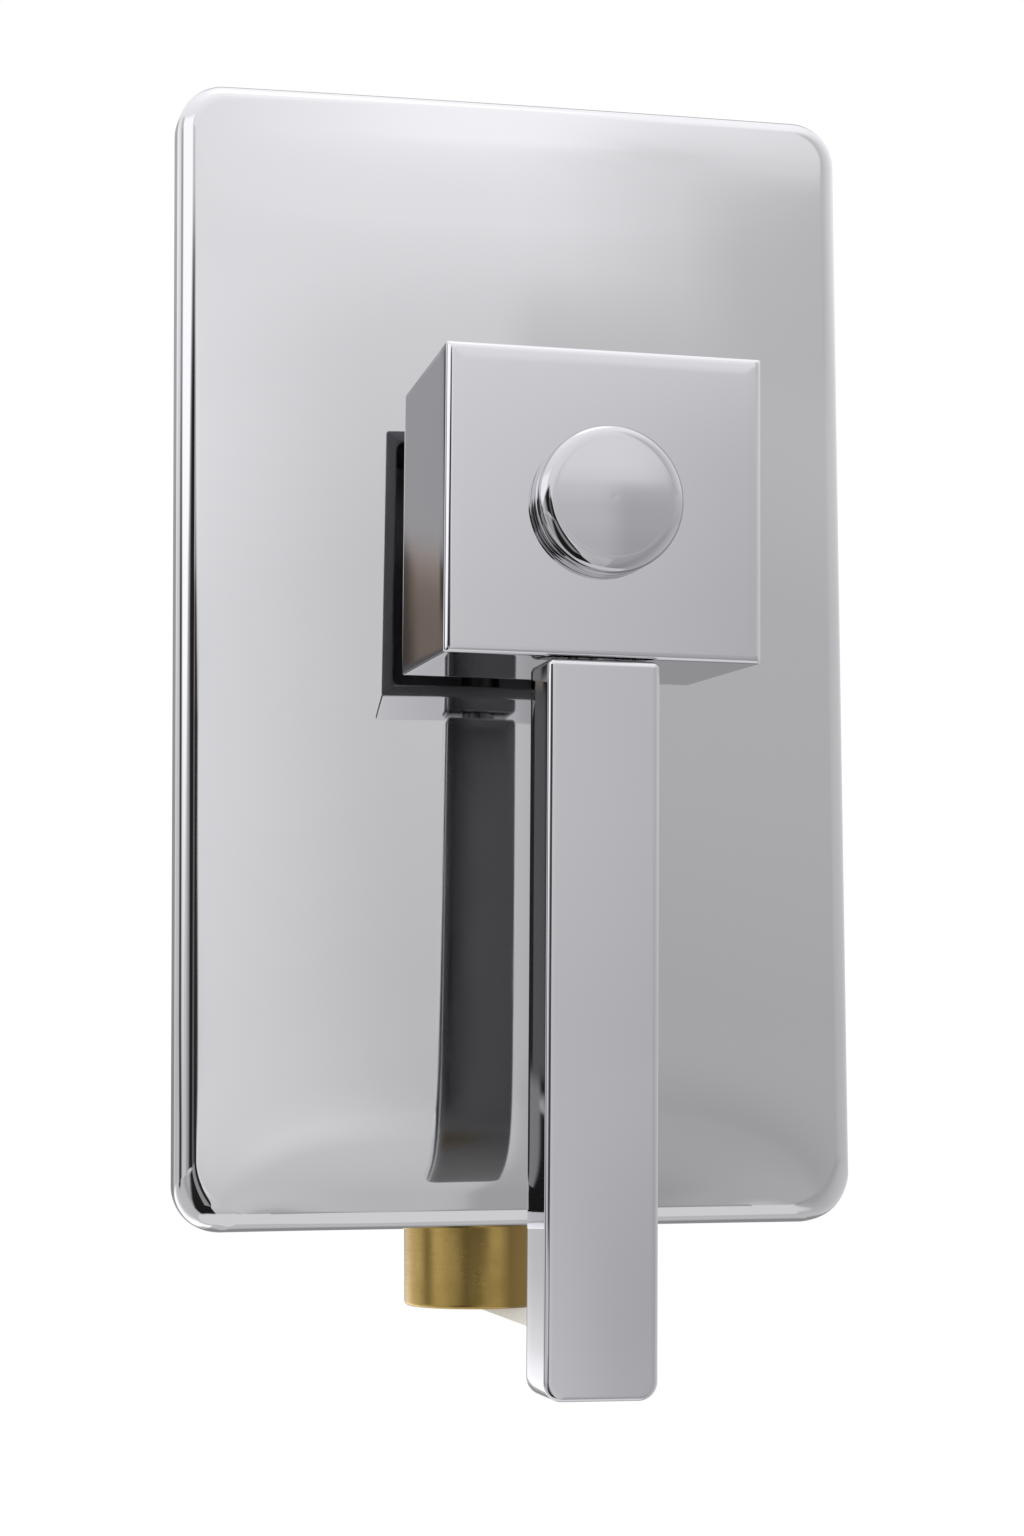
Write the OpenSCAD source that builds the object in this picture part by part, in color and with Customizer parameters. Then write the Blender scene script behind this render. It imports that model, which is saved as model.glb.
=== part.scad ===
// Concealed quarter-turn stop valve with its wall plate, sleeve, cube hub and bar lever.
// Millimetres. X to the right, Y into the wall, Z up.
// Origin: on the valve's axis, in the plane of the finished wall.
// "Out" is the distance from the wall towards the room; it is negative inside the wall.

/* [Wall plate] */
// Width of the plate
plate_w = 120; // [110:1:140]
// Height of the plate
plate_h = 199; // [180:1:215]
// Depth of the plate from the wall to its face
plate_depth = 9; // [8:0.5:12]
// Thickness of the plate's metal
plate_wall = 1.5; // [1:0.1:2]
// Radius of the plate's four corners seen from the front
plate_corner_r = 8; // [7:0.5:14]
// Radius of the soft edge round the plate's face
plate_edge_r = 3; // [2.5:0.5:4]
// Rise of the plate's crowned face from its edge to its middle
plate_crown = 4.5; // [3:0.5:5]
// Length over which the crown rolls down at its upper and lower ends
plate_crown_run = 8; // [6:0.5:12]
// Distance of the plate's centre below the valve's axis
plate_drop = 17; // [10:1:22]
// Length of the collar behind the plate's round hole
plate_collar_l = 4; // [3.5:0.1:4.5]
// Width of the foam gasket's strip
gasket_w = 6; // [4:0.5:9]

/* [Sleeve] */
// Outer radius of the round sleeve
sleeve_r = 19.6; // [19.2:0.1:20]
// Thickness of the sleeve's wall
sleeve_wall = 3; // [2.6:0.1:3.3]
// Distance that the sleeve's front end stands out from the wall
sleeve_out = 34; // [30:0.5:36]
// Height of the cap ring in front of the sleeve
sleeve_cap_h = 4; // [2.5:0.25:5]
// Radius of the cap ring's rounded edge
sleeve_cap_edge_r = 2; // [1:0.25:2.4]
// Length of the cap ring's spigot in the sleeve
sleeve_spigot_l = 4; // [2:0.5:8]
// Radius of the section of the sleeve's rubber ring
sleeve_ring_r = 1; // [0.8:0.05:1.2]

/* [Handle hub] */
// Width of the hub's front face
hub_w = 51.7; // [50:0.1:56]
// Height of the hub's front face
hub_h = 49.4; // [48.5:0.1:56]
// Depth of the hub from back to front
hub_depth = 38; // [36:0.5:42]
// Gap between the plate's face and the hub's back
hub_gap = 20; // [17:0.5:22]
// Draft of the hub's four sides, in degrees
hub_draft = 1.4; // [0:0.1:1.8]
// Thickness of the hub's side walls
hub_wall = 2; // [1.5:0.1:2.3]
// Radius of the hub's front edges
hub_edge_r = 1.2; // [0.5:0.1:1.5]
// Radius of the boss in the hub that holds the insert
hub_boss_r = 12; // [10:0.5:14]
// Thickness of the web that the handle screw clamps
hub_web = 2.5; // [2:0.25:4]
// Angle at which the handle rests off plumb, in degrees
handle_turn = 0.8; // [0:0.1:2]

/* [Button] */
// Radius of the button and of its foot ring
button_r = 11.8; // [10.5:0.1:13]
// Distance that the button stands out of the hub
button_h = 5.5; // [4.5:0.1:7]
// Height of the foot ring
button_ring_h = 1.6; // [1:0.1:2]
// Height of the shadow groove between ring and button
button_groove_h = 0.6; // [0.3:0.1:1]
// Depth of that groove
button_groove_d = 0.5; // [0.3:0.1:1]
// Radius of the button's rounded shoulder
button_edge_r = 1.8; // [1:0.1:2]
// Rise of the button's domed face
button_crown = 0.5; // [0.2:0.1:0.8]
// Radius of the bore in the hub that takes the button's skirt
button_bore_r = 8.6; // [7.9:0.1:9.2]
// Thickness of the button's skirt
button_skirt_t = 1.3; // [1.2:0.05:1.5]
// Length of the button's skirt in the hub
button_skirt_l = 4.5; // [3.5:0.1:5]
// Radius of the section of the rubber ring on the skirt
button_oring_r = 0.55; // [0.4:0.05:0.6]

/* [Lever] */
// Width of the bar
lever_w = 18.2; // [15:0.1:22]
// Thickness of the bar
lever_t = 12; // [10:0.5:14]
// Length of the bar
lever_l = 114.6; // [90:0.5:130]
// Radius of the bar's corners seen from the front
lever_corner_r = 3; // [1.5:0.1:4]
// Radius of the bar's front edges
lever_edge_r = 1; // [0.5:0.1:1.3]
// Width of the dark seam between hub and bar
lever_seam = 0.6; // [0.3:0.1:1.5]
// Radius of the seat on the bar's top
lever_seat_r = 4.4; // [4:0.1:5]
// Radius of the threaded stud between hub and bar
stud_r = 3; // [2.5:0.1:3.4]
// Length of the stud in the bar
stud_in_lever = 15; // [10:0.5:25]
// Length of the stud in the hub
stud_in_hub = 12; // [9:0.5:12.5]
// Thickness of the metal round the stud in the hub
stud_boss_wall = 3; // [2:0.1:3.5]

/* [Handle fastening] */
// Outer radius of the insert in the hub's boss
insert_r = 8; // [7.5:0.1:8.5]
// Length of the insert
insert_l = 15.5; // [13:0.5:16.5]
// Radius of the extension's round shaft
extension_r = 7; // [6.5:0.1:7.3]
// Outer radius of the extension's splined end
extension_spline_r = 5.5; // [5:0.1:5.8]
// Distance of the screw's tapped hole into the extension
extension_tap_l = 13; // [12.6:0.1:14]
// Number of spline teeth
spline_teeth = 20; // [16:2:24]
// Depth of the spline teeth
spline_depth = 0.5; // [0.3:0.05:0.6]
// Radius of the handle screw's shank
screw_r = 2.4; // [2:0.1:2.5]
// Length of the handle screw's shank
screw_l = 15; // [10:0.5:15]
// Radius of the screw's head
screw_head_r = 4.6; // [4:0.1:5]
// Height of the screw's head
screw_head_h = 2.8; // [2:0.1:3.5]
// Radius of the hexagon socket in the head
screw_socket_r = 1.7; // [1.3:0.1:1.9]
// Depth of that socket
screw_socket_d = 1.6; // [1:0.1:1.8]
// Outer radius of the washer
washer_r = 5.6; // [5.2:0.1:6.2]
// Thickness of the washer
washer_t = 1; // [0.5:0.1:1.5]

/* [Headwork] */
// Radius of the bore in the valve body that takes the headwork
headwork_bore_r = 12; // [11.8:0.1:12.5]
// Wall of the cup that holds the discs
cup_wall = 1.8; // [1.5:0.1:2]
// Thickness of the cup's floor and thread together
cup_floor_l = 12; // [11:0.5:13]
// Depth of the cup from its floor to its open end
cup_depth = 11.6; // [11.3:0.1:11.8]
// Width of each of the cup's two water windows
cup_window_w = 10; // [7:0.5:12]
// Circumscribed radius of the headwork's hexagon
hexagon_r = 15; // [14:0.1:15.8]
// Height of the hexagon
hexagon_h = 6; // [4:0.5:8]
// Outer radius of the headwork's front neck
neck_r = 8.2; // [7.5:0.1:9]
// Length of the headwork's front neck
neck_l = 11; // [9:0.5:12]
// Radius of the spindle
spindle_r = 5; // [4.6:0.1:5.2]
// Outer radius of the spindle's splined end
spindle_spline_r = 4; // [3.6:0.1:4.2]
// Length of the spindle's splined end
spindle_spline_l = 11; // [8:0.5:12]
// Radius of the section of the spindle's rubber rings
spindle_ring_r = 0.5; // [0.4:0.05:0.6]
// Distance between the two rubber rings
spindle_ring_pitch = 5; // [3:0.25:7]
// Thickness of the spring clip
clip_t = 1; // [0.6:0.1:1.2]
// Outer radius of the spring clip
clip_r = 7; // [6.5:0.1:7.5]
// Depth of the clip's groove in the spindle
clip_groove_d = 0.8; // [0.5:0.1:0.9]
// Width of the gap in the spring clip
clip_gap = 4; // [2:0.5:5]
// Thickness of the ring under the hexagon
hexagon_seal_t = 1; // [0.8:0.1:1.5]

/* [Ceramic discs] */
// Thickness of each ceramic disc
disc_t = 3.2; // [2.8:0.1:3.4]
// Outer radius of the water windows in the discs
window_r = 7.2; // [6.5:0.1:7.6]
// Inner radius of the water windows in the discs
window_in_r = 2.2; // [1.5:0.1:2.8]
// Angle of each window
window_angle = 80; // [60:1:86]
// Width of the locating ribs that hold the fixed disc
rib_w = 3; // [2:0.1:4]
// Height of those ribs
rib_h = 1; // [0.6:0.1:1.2]
// Width of the driver's two lugs
lug_w = 3; // [2:0.1:3.5]
// Length of each driver lug along the disc's radius
lug_l = 2.2; // [1.5:0.1:2.4]
// Height of the driver's lugs
lug_h = 2; // [1.2:0.1:2.2]
// Thickness of the driver's round plate
driver_t = 1.6; // [1.4:0.1:1.8]
// Height of the stop arc and of the driver's stop tab
stop_h = 2; // [1.6:0.1:2.1]
// Inner radius of the stop arc
stop_in_r = 6.6; // [6:0.1:7.2]
// Angle of the driver's stop tab
stop_tab_angle = 100; // [80:1:120]
// Angle that the handle turns from closed to open
turn_angle = 90; // [80:1:100]
// Thickness of the rubber ring under the fixed disc
seat_seal_t = 1.8; // [1.4:0.1:2.2]
// Inner radius of that ring and of the passage through the seat
seat_r = 7.6; // [7.2:0.1:7.9]

/* [Valve body] */
// Distance of the port axis behind the wall plane
port_depth = 28; // [27:0.5:30]
// Outer radius of the ports and of the lower barrel
port_r = 13.4; // [13:0.1:14]
// Distance from the valve's axis to each port's end face
port_reach = 45; // [42:0.5:50]
// Radius of the threaded bore in the ports
thread_r = 9.3; // [9:0.1:9.6]
// Depth of the threaded bore in the ports
thread_l = 14; // [12:0.5:16]
// Outer radius of the round chamber
chamber_r = 19; // [18:0.5:21]
// Distance of the chamber's front shoulder behind the wall plane
chamber_front = 13; // [12.5:0.1:13]
// Distance of the chamber's back behind the wall plane
chamber_back = 47; // [46:0.5:50]
// Distance of the body's front neck end behind the wall plane
body_neck_in = 6; // [4:0.5:8]
// Thickness of the seat
seat_t = 2; // [1.5:0.1:2.4]
// Depth of the pressure side behind the seat
inlet_depth = 9; // [7:0.5:10]
// Radius of the upper water passage
outlet_passage_r = 6; // [4.5:0.1:6.2]
// Radius of the lower water passage
inlet_passage_r = 3.8; // [3.4:0.1:3.8]
// Distance between the two fixing holes
lug_pitch = 64; // [56:1:80]
// Radius of the fixing holes
lug_hole_r = 2.75; // [2:0.05:3.5]
// Radius of the fixing lugs' ends
lug_end_r = 7.5; // [6:0.5:9]
// Thickness of the fixing lugs
lug_t = 5; // [3:0.5:6]

/* [Lower barrel] */
// Distance of the barrel's lower end below the valve's axis
barrel_end = 132; // [120:0.5:150]
// Radius of the water way in the barrel
barrel_bore_r = 7; // [5:0.1:8]
// Length of the barrel's threaded spigot in the body
barrel_spigot_l = 11; // [8:0.5:11.5]
// Thickness of the washer between body and barrel
barrel_seal_t = 1; // [0.8:0.1:2]
// Rounding of the barrel's outer end edges
barrel_edge_r = 0.8; // [0.4:0.1:1.2]
// Length of the plug inside the barrel
plug_l = 8; // [5:0.5:10]
// Wall of the plug
plug_wall = 1.6; // [1:0.1:2.5]
// Slant of the plug's lower end, in degrees
plug_slant = 21; // [10:1:30]
// Distance of the slant's start from the barrel's axis
plug_start = 1.8; // [0:0.1:3]

/* [Hidden] */
$fn = 96;
// Clearances
cut = 1;                // how far a cutter runs past the surface that it opens
run_gap = 0.06;         // radial running fit of the spindle
fit_gap = 0.1;          // screwed and pushed fits inside one body
loose_gap = 0.4;        // plate and cap ring round what passes through them
crown_rim = 0.5;        // flat strip between the plate's soft edge and its crown
lap_gap = 0.05;         // between the two ceramic discs and beside the clip
drive_gap = 0.15;       // round the driver's lugs and the locating ribs
stop_gap = 0.5;         // degrees left at each stop

// Plate and sleeve
plate_hole_r = sleeve_r + loose_gap;
sleeve_in_r = sleeve_r - sleeve_wall;
neck_out_r = sleeve_in_r - fit_gap;
ring_groove_r = sleeve_r + loose_gap - 2 * sleeve_ring_r - lap_gap;
ring_out = plate_depth - plate_wall - plate_collar_l / 2;
gasket_inset = plate_edge_r - plate_wall;
crown_inset = plate_edge_r + crown_rim;

// Handle, measured out from the wall
hub_back = plate_depth + hub_gap;
hub_front = hub_back + hub_depth;
bore_floor = hub_front - button_skirt_l - lap_gap - washer_t - cut;
web_back = bore_floor - hub_web;
insert_back = web_back - insert_l;
head_top = bore_floor + washer_t + screw_head_h;
stud_out = hub_front - lever_t / 2;
lever_top = -hub_h / 2 - lever_seam;
skirt_r = button_bore_r - lap_gap - fit_gap;
oring_out = hub_front - button_skirt_l / 2;
oring_groove_r = button_bore_r - lap_gap - 2 * button_oring_r;

// Headwork, measured inwards from the wall
hex_in = body_neck_in - hexagon_seal_t;
floor_in = body_neck_in + cup_floor_l;
cup_end_in = floor_in + cup_depth;
cup_r = headwork_bore_r - fit_gap;
cup_in_r = cup_r - cup_wall;
disc_r = cup_in_r - 2 * fit_gap;
stop_face_in = floor_in + stop_h;
driver_front_in = stop_face_in + fit_gap;
driver_back_in = driver_front_in + driver_t;
moving_in = driver_back_in + lap_gap;
fixed_in = moving_in + disc_t + lap_gap;
seal_in = fixed_in + disc_t;
seat_in = seal_in + seat_seal_t;
neck_out = hexagon_h - hex_in + neck_l;
clip_out = neck_out + lap_gap;
spline_out = clip_out + clip_t + lap_gap;
spindle_end = spline_out + spindle_spline_l;
socket_l = spindle_spline_l - lap_gap;
extension_back = spindle_end - socket_l;
extension_shoulder = insert_back - 2 * fit_gap;
extension_end = web_back - cut;
stop_arc_angle = 360 - stop_tab_angle - turn_angle - 2 * stop_gap;
plug_r = thread_r - lap_gap;

// Puts children at a distance out from the wall, with local Z towards the room and local Y up.
module from_wall(out = 0) {
    translate([0, -out, 0]) rotate([90, 0, 0]) children();
}

// Turns a piece of the handle to the angle at which the handle rests.
module at_rest() {
    rotate([0, handle_turn, 0]) children();
}

// Flat profile with two rounded upper corners.
module soft_profile(w, d, edge_r) {
    translate([-w / 2, 0]) square([w, d - edge_r]);
    translate([edge_r - w / 2, 0]) square([w - 2 * edge_r, d]);
    for (side = [-1, 1]) {
        translate([side * (w / 2 - edge_r), d - edge_r]) circle(edge_r);
    }
}

// Round disc with a rounded upper edge.
module soft_disc(r, d, edge_r) {
    rotate_extrude() intersection() {
        soft_profile(2 * r, d, edge_r);
        square([r, d]);
    }
}

// Rectangular slab with rounded corners and a rounded upper edge.
module soft_slab(w, h, d, corner_r, edge_r) {
    for (x = [-1, 1], y = [-1, 1]) {
        translate([x * (w / 2 - corner_r), y * (h / 2 - corner_r), 0]) soft_disc(corner_r, d, edge_r);
    }
    rotate([90, 0, 90]) linear_extrude(w - 2 * corner_r, center = true) soft_profile(h, d, edge_r);
    rotate([90, 0, 0]) linear_extrude(h - 2 * corner_r, center = true) soft_profile(w, d, edge_r);
}

// Arch across the width that rolls down at its upper and lower ends.
module crown(w, h, rise, run, corner_r) {
    arch_r = (w * w / 4 + rise * rise) / (2 * rise);
    end_r = (run * run + rise * rise) / (2 * rise);
    intersection() {
        translate([0, 0, -cut]) linear_extrude(rise + cut) round_rect(w, h, corner_r);
        rotate([90, 0, 0]) linear_extrude(h, center = true)
            translate([0, rise - arch_r]) circle(arch_r, $fn = 720);
        rotate([90, 0, 90]) linear_extrude(w, center = true) {
            translate([run - h / 2, -cut]) square([h - 2 * run, rise + cut]);
            for (side = [-1, 1]) {
                translate([side * (h / 2 - run), rise - end_r]) circle(end_r);
            }
        }
    }
}

// Outside of the plate, or with a positive inset the hollow inside it.
module plate_form(inset) {
    below = inset > 0 ? cut : 0;
    translate([0, -plate_drop, -below]) {
        soft_slab(plate_w - 2 * inset, plate_h - 2 * inset, plate_depth - inset + below,
                  plate_corner_r - inset, plate_edge_r - inset);
        translate([0, 0, plate_depth - inset + below])
            crown(plate_w - 2 * crown_inset, plate_h - 2 * crown_inset, plate_crown,
                  plate_crown_run, plate_corner_r - crown_inset);
    }
}

// Outline of a rectangle with rounded corners.
module round_rect(w, h, r) {
    square([w - 2 * r, h], center = true);
    square([w, h - 2 * r], center = true);
    for (x = [-1, 1], y = [-1, 1]) {
        translate([x * (w / 2 - r), y * (h / 2 - r)]) circle(r);
    }
}

// Ring with a round section.
module oring(ring_r, section_r) {
    rotate_extrude() translate([ring_r, 0]) circle(section_r, $fn = 32);
}

// Plain tube.
module tube(r, in_r, h) {
    difference() {
        cylinder(r = r, h = h);
        translate([0, 0, -cut]) cylinder(r = in_r, h = h + 2 * cut);
    }
}

// Outline of a toothed shaft.
module spline(r) {
    step = 180 / spline_teeth;
    polygon([for (i = [0 : 2 * spline_teeth - 1])
        let (tip = i % 2 == 0 ? r : r - spline_depth)
        [tip * cos(i * step), tip * sin(i * step)]]);
}

// Wedge of a circle between two angles, as an outline.
module wedge(r, from, to) {
    span = (to - from) / 4;
    intersection() {
        circle(r);
        polygon(concat([[0, 0]], [for (i = [0 : 4]) 2 * r * [cos(from + i * span), sin(from + i * span)]]));
    }
}

// Part of a ring between two angles, as an outline.
module ring_part(r, in_r, from, to) {
    difference() {
        wedge(r, from, to);
        circle(in_r);
    }
}

// Two opposite water windows, centred on the given angle.
module windows(angle) {
    for (side = [0, 180]) {
        ring_part(window_r, window_in_r, angle + side - window_angle / 2, angle + side + window_angle / 2);
    }
}

// Block with the draft of the hub, its front face at the top.
module drafted_block(w, h, front, back, edge_r) {
    lost = (front - back) * tan(hub_draft);
    intersection() {
        rotate([90, 0, 90]) linear_extrude(w + 2 * cut, center = true)
            drafted_profile(h, front, back, edge_r, lost);
        rotate([90, 0, 0]) linear_extrude(h + 2 * cut, center = true)
            drafted_profile(w, front, back, edge_r, lost);
    }
}

// Trapezium, wider at the front, with rounded front corners.
module drafted_profile(w, front, back, edge_r, lost) {
    lean = edge_r * tan(hub_draft);
    centre = w / 2 - edge_r - lean;
    polygon([[lost - w / 2, back], [w / 2 - lost, back],
             [centre + edge_r * cos(hub_draft), front - edge_r - edge_r * sin(hub_draft)],
             [centre, front], [-centre, front],
             [-centre - edge_r * cos(hub_draft), front - edge_r - edge_r * sin(hub_draft)]]);
    for (side = [-1, 1]) {
        translate([side * centre, front - edge_r]) circle(edge_r);
    }
}

// Pressed plate, open at the back, with a turned-in collar round its hole.
module wall_plate() {
    collar_out = plate_depth - plate_wall - plate_collar_l;
    color([0.80, 0.80, 0.82]) from_wall() difference() {
        plate_form(0);
        difference() {
            plate_form(plate_wall);
            translate([0, 0, collar_out])
                cylinder(r = plate_hole_r + plate_wall, h = plate_depth + plate_crown);
        }
        translate([0, 0, -cut]) cylinder(r = plate_hole_r, h = plate_depth + plate_crown + 2 * cut);
    }
}

// Foam strip between the plate and the wall.
module plate_gasket() {
    gasket_w_out = plate_w - 2 * plate_wall - 2 * gasket_inset;
    gasket_h_out = plate_h - 2 * plate_wall - 2 * gasket_inset;
    corner = plate_corner_r - plate_wall - gasket_inset;
    color([0.16, 0.16, 0.17]) from_wall() translate([0, -plate_drop, 0])
        linear_extrude(plate_depth - plate_wall) difference() {
            round_rect(gasket_w_out, gasket_h_out, corner);
            square([gasket_w_out - 2 * gasket_w, gasket_h_out - 2 * gasket_w], center = true);
        }
}

// Chromed sleeve, screwed on the body's neck, with a groove for the rubber ring.
module sleeve_tube() {
    color([0.80, 0.80, 0.82]) from_wall(-chamber_front) difference() {
        tube(sleeve_r, sleeve_in_r, chamber_front + sleeve_out);
        translate([0, 0, chamber_front + ring_out - sleeve_ring_r - lap_gap])
            tube(sleeve_r + cut, ring_groove_r, 2 * (sleeve_ring_r + lap_gap));
    }
}

// Cap ring with a rounded shoulder that closes the sleeve's front end.
module sleeve_cap() {
    color([0.80, 0.80, 0.82]) from_wall(sleeve_out) difference() {
        union() {
            soft_disc(sleeve_r, sleeve_cap_h, sleeve_cap_edge_r);
            translate([0, 0, -sleeve_spigot_l])
                cylinder(r = neck_out_r, h = sleeve_spigot_l + sleeve_cap_h / 2);
        }
        translate([0, 0, -sleeve_spigot_l - cut])
            cylinder(r = extension_r + loose_gap, h = sleeve_spigot_l + sleeve_cap_h + 2 * cut);
        translate([0, 0, -sleeve_spigot_l - cut])
            cylinder(r = neck_out_r - sleeve_wall, h = sleeve_spigot_l + cut);
    }
}

// Rubber ring between the sleeve and the plate's collar.
module sleeve_oring() {
    color([0.05, 0.05, 0.05]) from_wall(ring_out)
        oring(ring_groove_r + sleeve_ring_r, sleeve_ring_r - lap_gap / 4);
}

// Brass body: chamber, neck, two ports, seat, water passages and fixing lugs.
module valve_body() {
    outlet_in = seat_in - seat_t - outlet_passage_r;
    inlet_in = seat_in + seat_t + inlet_passage_r;
    passage_l = port_reach - thread_l + cut;
    color([0.78, 0.62, 0.32]) difference() {
        union() {
            from_wall(-chamber_back) cylinder(r = chamber_r, h = chamber_back - chamber_front);
            from_wall(-chamber_back) cylinder(r = neck_out_r, h = chamber_back - body_neck_in);
            translate([0, port_depth, -port_reach]) cylinder(r = port_r, h = 2 * port_reach);
            from_wall(-chamber_back) linear_extrude(lug_t) {
                square([lug_pitch, 2 * lug_end_r], center = true);
                for (side = [-1, 1]) {
                    translate([side * lug_pitch / 2, 0]) circle(lug_end_r);
                }
            }
        }
        from_wall(-seat_in) cylinder(r = headwork_bore_r, h = seat_in);
        from_wall(-seat_in - seat_t - inlet_depth) cylinder(r = seat_r, h = seat_t + inlet_depth + cut);
        for (end = [0, 1]) {
            mirror([0, 0, end]) translate([0, port_depth, port_reach - thread_l])
                cylinder(r = thread_r, h = thread_l + cut);
        }
        translate([0, outlet_in, 0]) cylinder(r = outlet_passage_r, h = passage_l);
        translate([0, inlet_in, -passage_l]) cylinder(r = inlet_passage_r, h = passage_l);
        for (side = [-1, 1]) {
            translate([side * lug_pitch / 2, 0, 0]) from_wall(-chamber_back - cut)
                cylinder(r = lug_hole_r, h = lug_t + 2 * cut);
        }
    }
}

// Fibre washer between the body's lower port and the barrel.
module tail_seal() {
    color([0.45, 0.20, 0.12]) translate([0, port_depth, -port_reach - barrel_seal_t])
        tube(port_r - barrel_edge_r, thread_r, barrel_seal_t);
}

// Brass barrel that brings the lower connection out below the plate.
module lower_tail() {
    shoulder = port_reach + barrel_seal_t;
    color([0.78, 0.62, 0.32]) translate([0, port_depth, 0]) difference() {
        union() {
            translate([0, 0, -shoulder])
                cylinder(r = thread_r - fit_gap, h = barrel_seal_t + barrel_spigot_l);
            translate([0, 0, -shoulder]) mirror([0, 0, 1])
                soft_disc(port_r, barrel_end - shoulder, barrel_edge_r);
        }
        translate([0, 0, -barrel_end - cut]) cylinder(r = barrel_bore_r, h = barrel_end + cut);
        translate([0, 0, -barrel_end - cut]) cylinder(r = thread_r, h = thread_l + cut);
    }
}

// Moulded plug in the barrel's mouth, its lower end cut at a slant.
module lower_plug() {
    drop = (2 * plug_r + plug_start) * tan(plug_slant);
    rise = (plug_r - plug_start) * tan(plug_slant);
    color([0.90, 0.88, 0.84]) translate([0, port_depth, -barrel_end]) difference() {
        translate([0, 0, -drop]) cylinder(r = plug_r, h = drop + plug_l);
        translate([0, 0, rise + plug_wall]) cylinder(r = plug_r - plug_wall, h = plug_l + cut);
        translate([-plug_start, 0, 0]) rotate([0, plug_slant, 0])
            translate([-3 * plug_r, -2 * plug_r, -3 * plug_r])
                cube([6 * plug_r, 4 * plug_r, 3 * plug_r]);
    }
}

// Brass headwork: cup with water windows, stop arc, hexagon and guide neck.
module headwork_housing() {
    stop_from = 90 + stop_tab_angle / 2 + turn_angle + stop_gap - handle_turn;
    window_h = driver_t + disc_t;
    color([0.80, 0.66, 0.38]) from_wall() difference() {
        union() {
            translate([0, 0, -cup_end_in]) tube(cup_r, cup_in_r, cup_depth);
            translate([0, 0, -floor_in]) cylinder(r = cup_r, h = floor_in - hex_in + cut);
            translate([0, 0, -hex_in]) cylinder(r = hexagon_r, h = hexagon_h, $fn = 6);
            translate([0, 0, hexagon_h - hex_in]) cylinder(r = neck_r, h = neck_l);
            translate([0, 0, -stop_face_in]) linear_extrude(stop_h + cut)
                ring_part(cup_in_r + cup_wall / 2, stop_in_r, stop_from, stop_from + stop_arc_angle);
            for (side = [0, 180]) {
                rotate([0, 0, side]) translate([cup_in_r - rib_h, -rib_w / 2, -seal_in])
                    cube([rib_h + cup_wall / 2, rib_w, disc_t]);
            }
        }
        translate([0, 0, -floor_in - cut])
            cylinder(r = spindle_r + run_gap, h = floor_in + neck_out + 2 * cut);
        translate([-cup_window_w / 2, -2 * cup_r, -moving_in - disc_t])
            cube([cup_window_w, 4 * cup_r, window_h]);
    }
}

// Ring under the hexagon.
module headwork_seal() {
    color([0.45, 0.20, 0.12]) from_wall(-body_neck_in)
        tube(hexagon_r * cos(30), headwork_bore_r + fit_gap, hexagon_seal_t);
}

// Rubber ring between the fixed disc and the seat.
module seat_seal() {
    color([0.05, 0.05, 0.05]) from_wall(-seat_in) tube(disc_r, seat_r, seat_seal_t);
}

// Fixed ceramic disc with two windows and two notches at its rim.
module fixed_disc() {
    notch = rib_w + 2 * drive_gap;
    color([0.93, 0.92, 0.90]) from_wall(-seal_in) linear_extrude(disc_t) difference() {
        circle(disc_r);
        windows(0);
        for (side = [-1, 1]) {
            translate([side * (cup_in_r - rib_h / 2 - drive_gap), 0])
                square([rib_h + 2 * drive_gap, notch], center = true);
        }
    }
}

// Moving ceramic disc, with slots for the driver's lugs.
module moving_disc() {
    slot_w = lug_w + 2 * drive_gap;
    slot_d = lug_h + drive_gap;
    slot_in_r = disc_r - lug_l - drive_gap;
    color([0.93, 0.92, 0.90]) at_rest() from_wall(-moving_in - disc_t) difference() {
        cylinder(r = disc_r, h = disc_t);
        translate([0, 0, -cut]) linear_extrude(disc_t + 2 * cut) windows(90);
        for (side = [0, 180]) {
            rotate([0, 0, side]) translate([slot_in_r, -slot_w / 2, disc_t - slot_d])
                cube([lug_l + 2 * drive_gap + cut, slot_w, slot_d + cut]);
        }
    }
}

// Spindle with driver, stop tab, ring grooves, clip groove and splined end.
module spindle() {
    tab_from = 90 - stop_tab_angle / 2;
    ring_mid = (neck_out - floor_in) / 2;
    color([0.80, 0.66, 0.38]) at_rest() from_wall() difference() {
        union() {
            translate([0, 0, -driver_front_in]) cylinder(r = spindle_r, h = driver_front_in + spline_out);
            translate([0, 0, spline_out - cut]) linear_extrude(spindle_spline_l + cut)
                spline(spindle_spline_r);
            translate([0, 0, -driver_back_in]) cylinder(r = disc_r, h = driver_t);
            translate([0, 0, -driver_front_in - driver_t / 2]) linear_extrude(stop_h + driver_t / 2)
                wedge(disc_r, tab_from, tab_from + stop_tab_angle);
            for (side = [0, 180]) {
                rotate([0, 0, side]) translate([disc_r - lug_l, 0, -driver_back_in - lug_h])
                    lug_block();
            }
        }
        for (side = [-1, 1]) {
            translate([0, 0, ring_mid + side * spindle_ring_pitch / 2 - spindle_ring_r - lap_gap])
                tube(spindle_r + cut, ring_seat_r(), 2 * (spindle_ring_r + lap_gap));
        }
        translate([0, 0, clip_out - lap_gap])
            tube(spindle_r + cut, spindle_r - clip_groove_d, clip_t + 2 * lap_gap);
    }
}

// One lug of the driver, kept inside the driver's round outline.
module lug_block() {
    intersection() {
        translate([0, -lug_w / 2, 0]) cube([lug_l, lug_w, lug_h + driver_t / 2]);
        translate([lug_l - disc_r, 0, 0]) cylinder(r = disc_r - drive_gap, h = lug_h + driver_t);
    }
}

// Radius of the floor of the spindle's ring grooves.
function ring_seat_r() = spindle_r + run_gap - 2 * spindle_ring_r - lap_gap;

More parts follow.
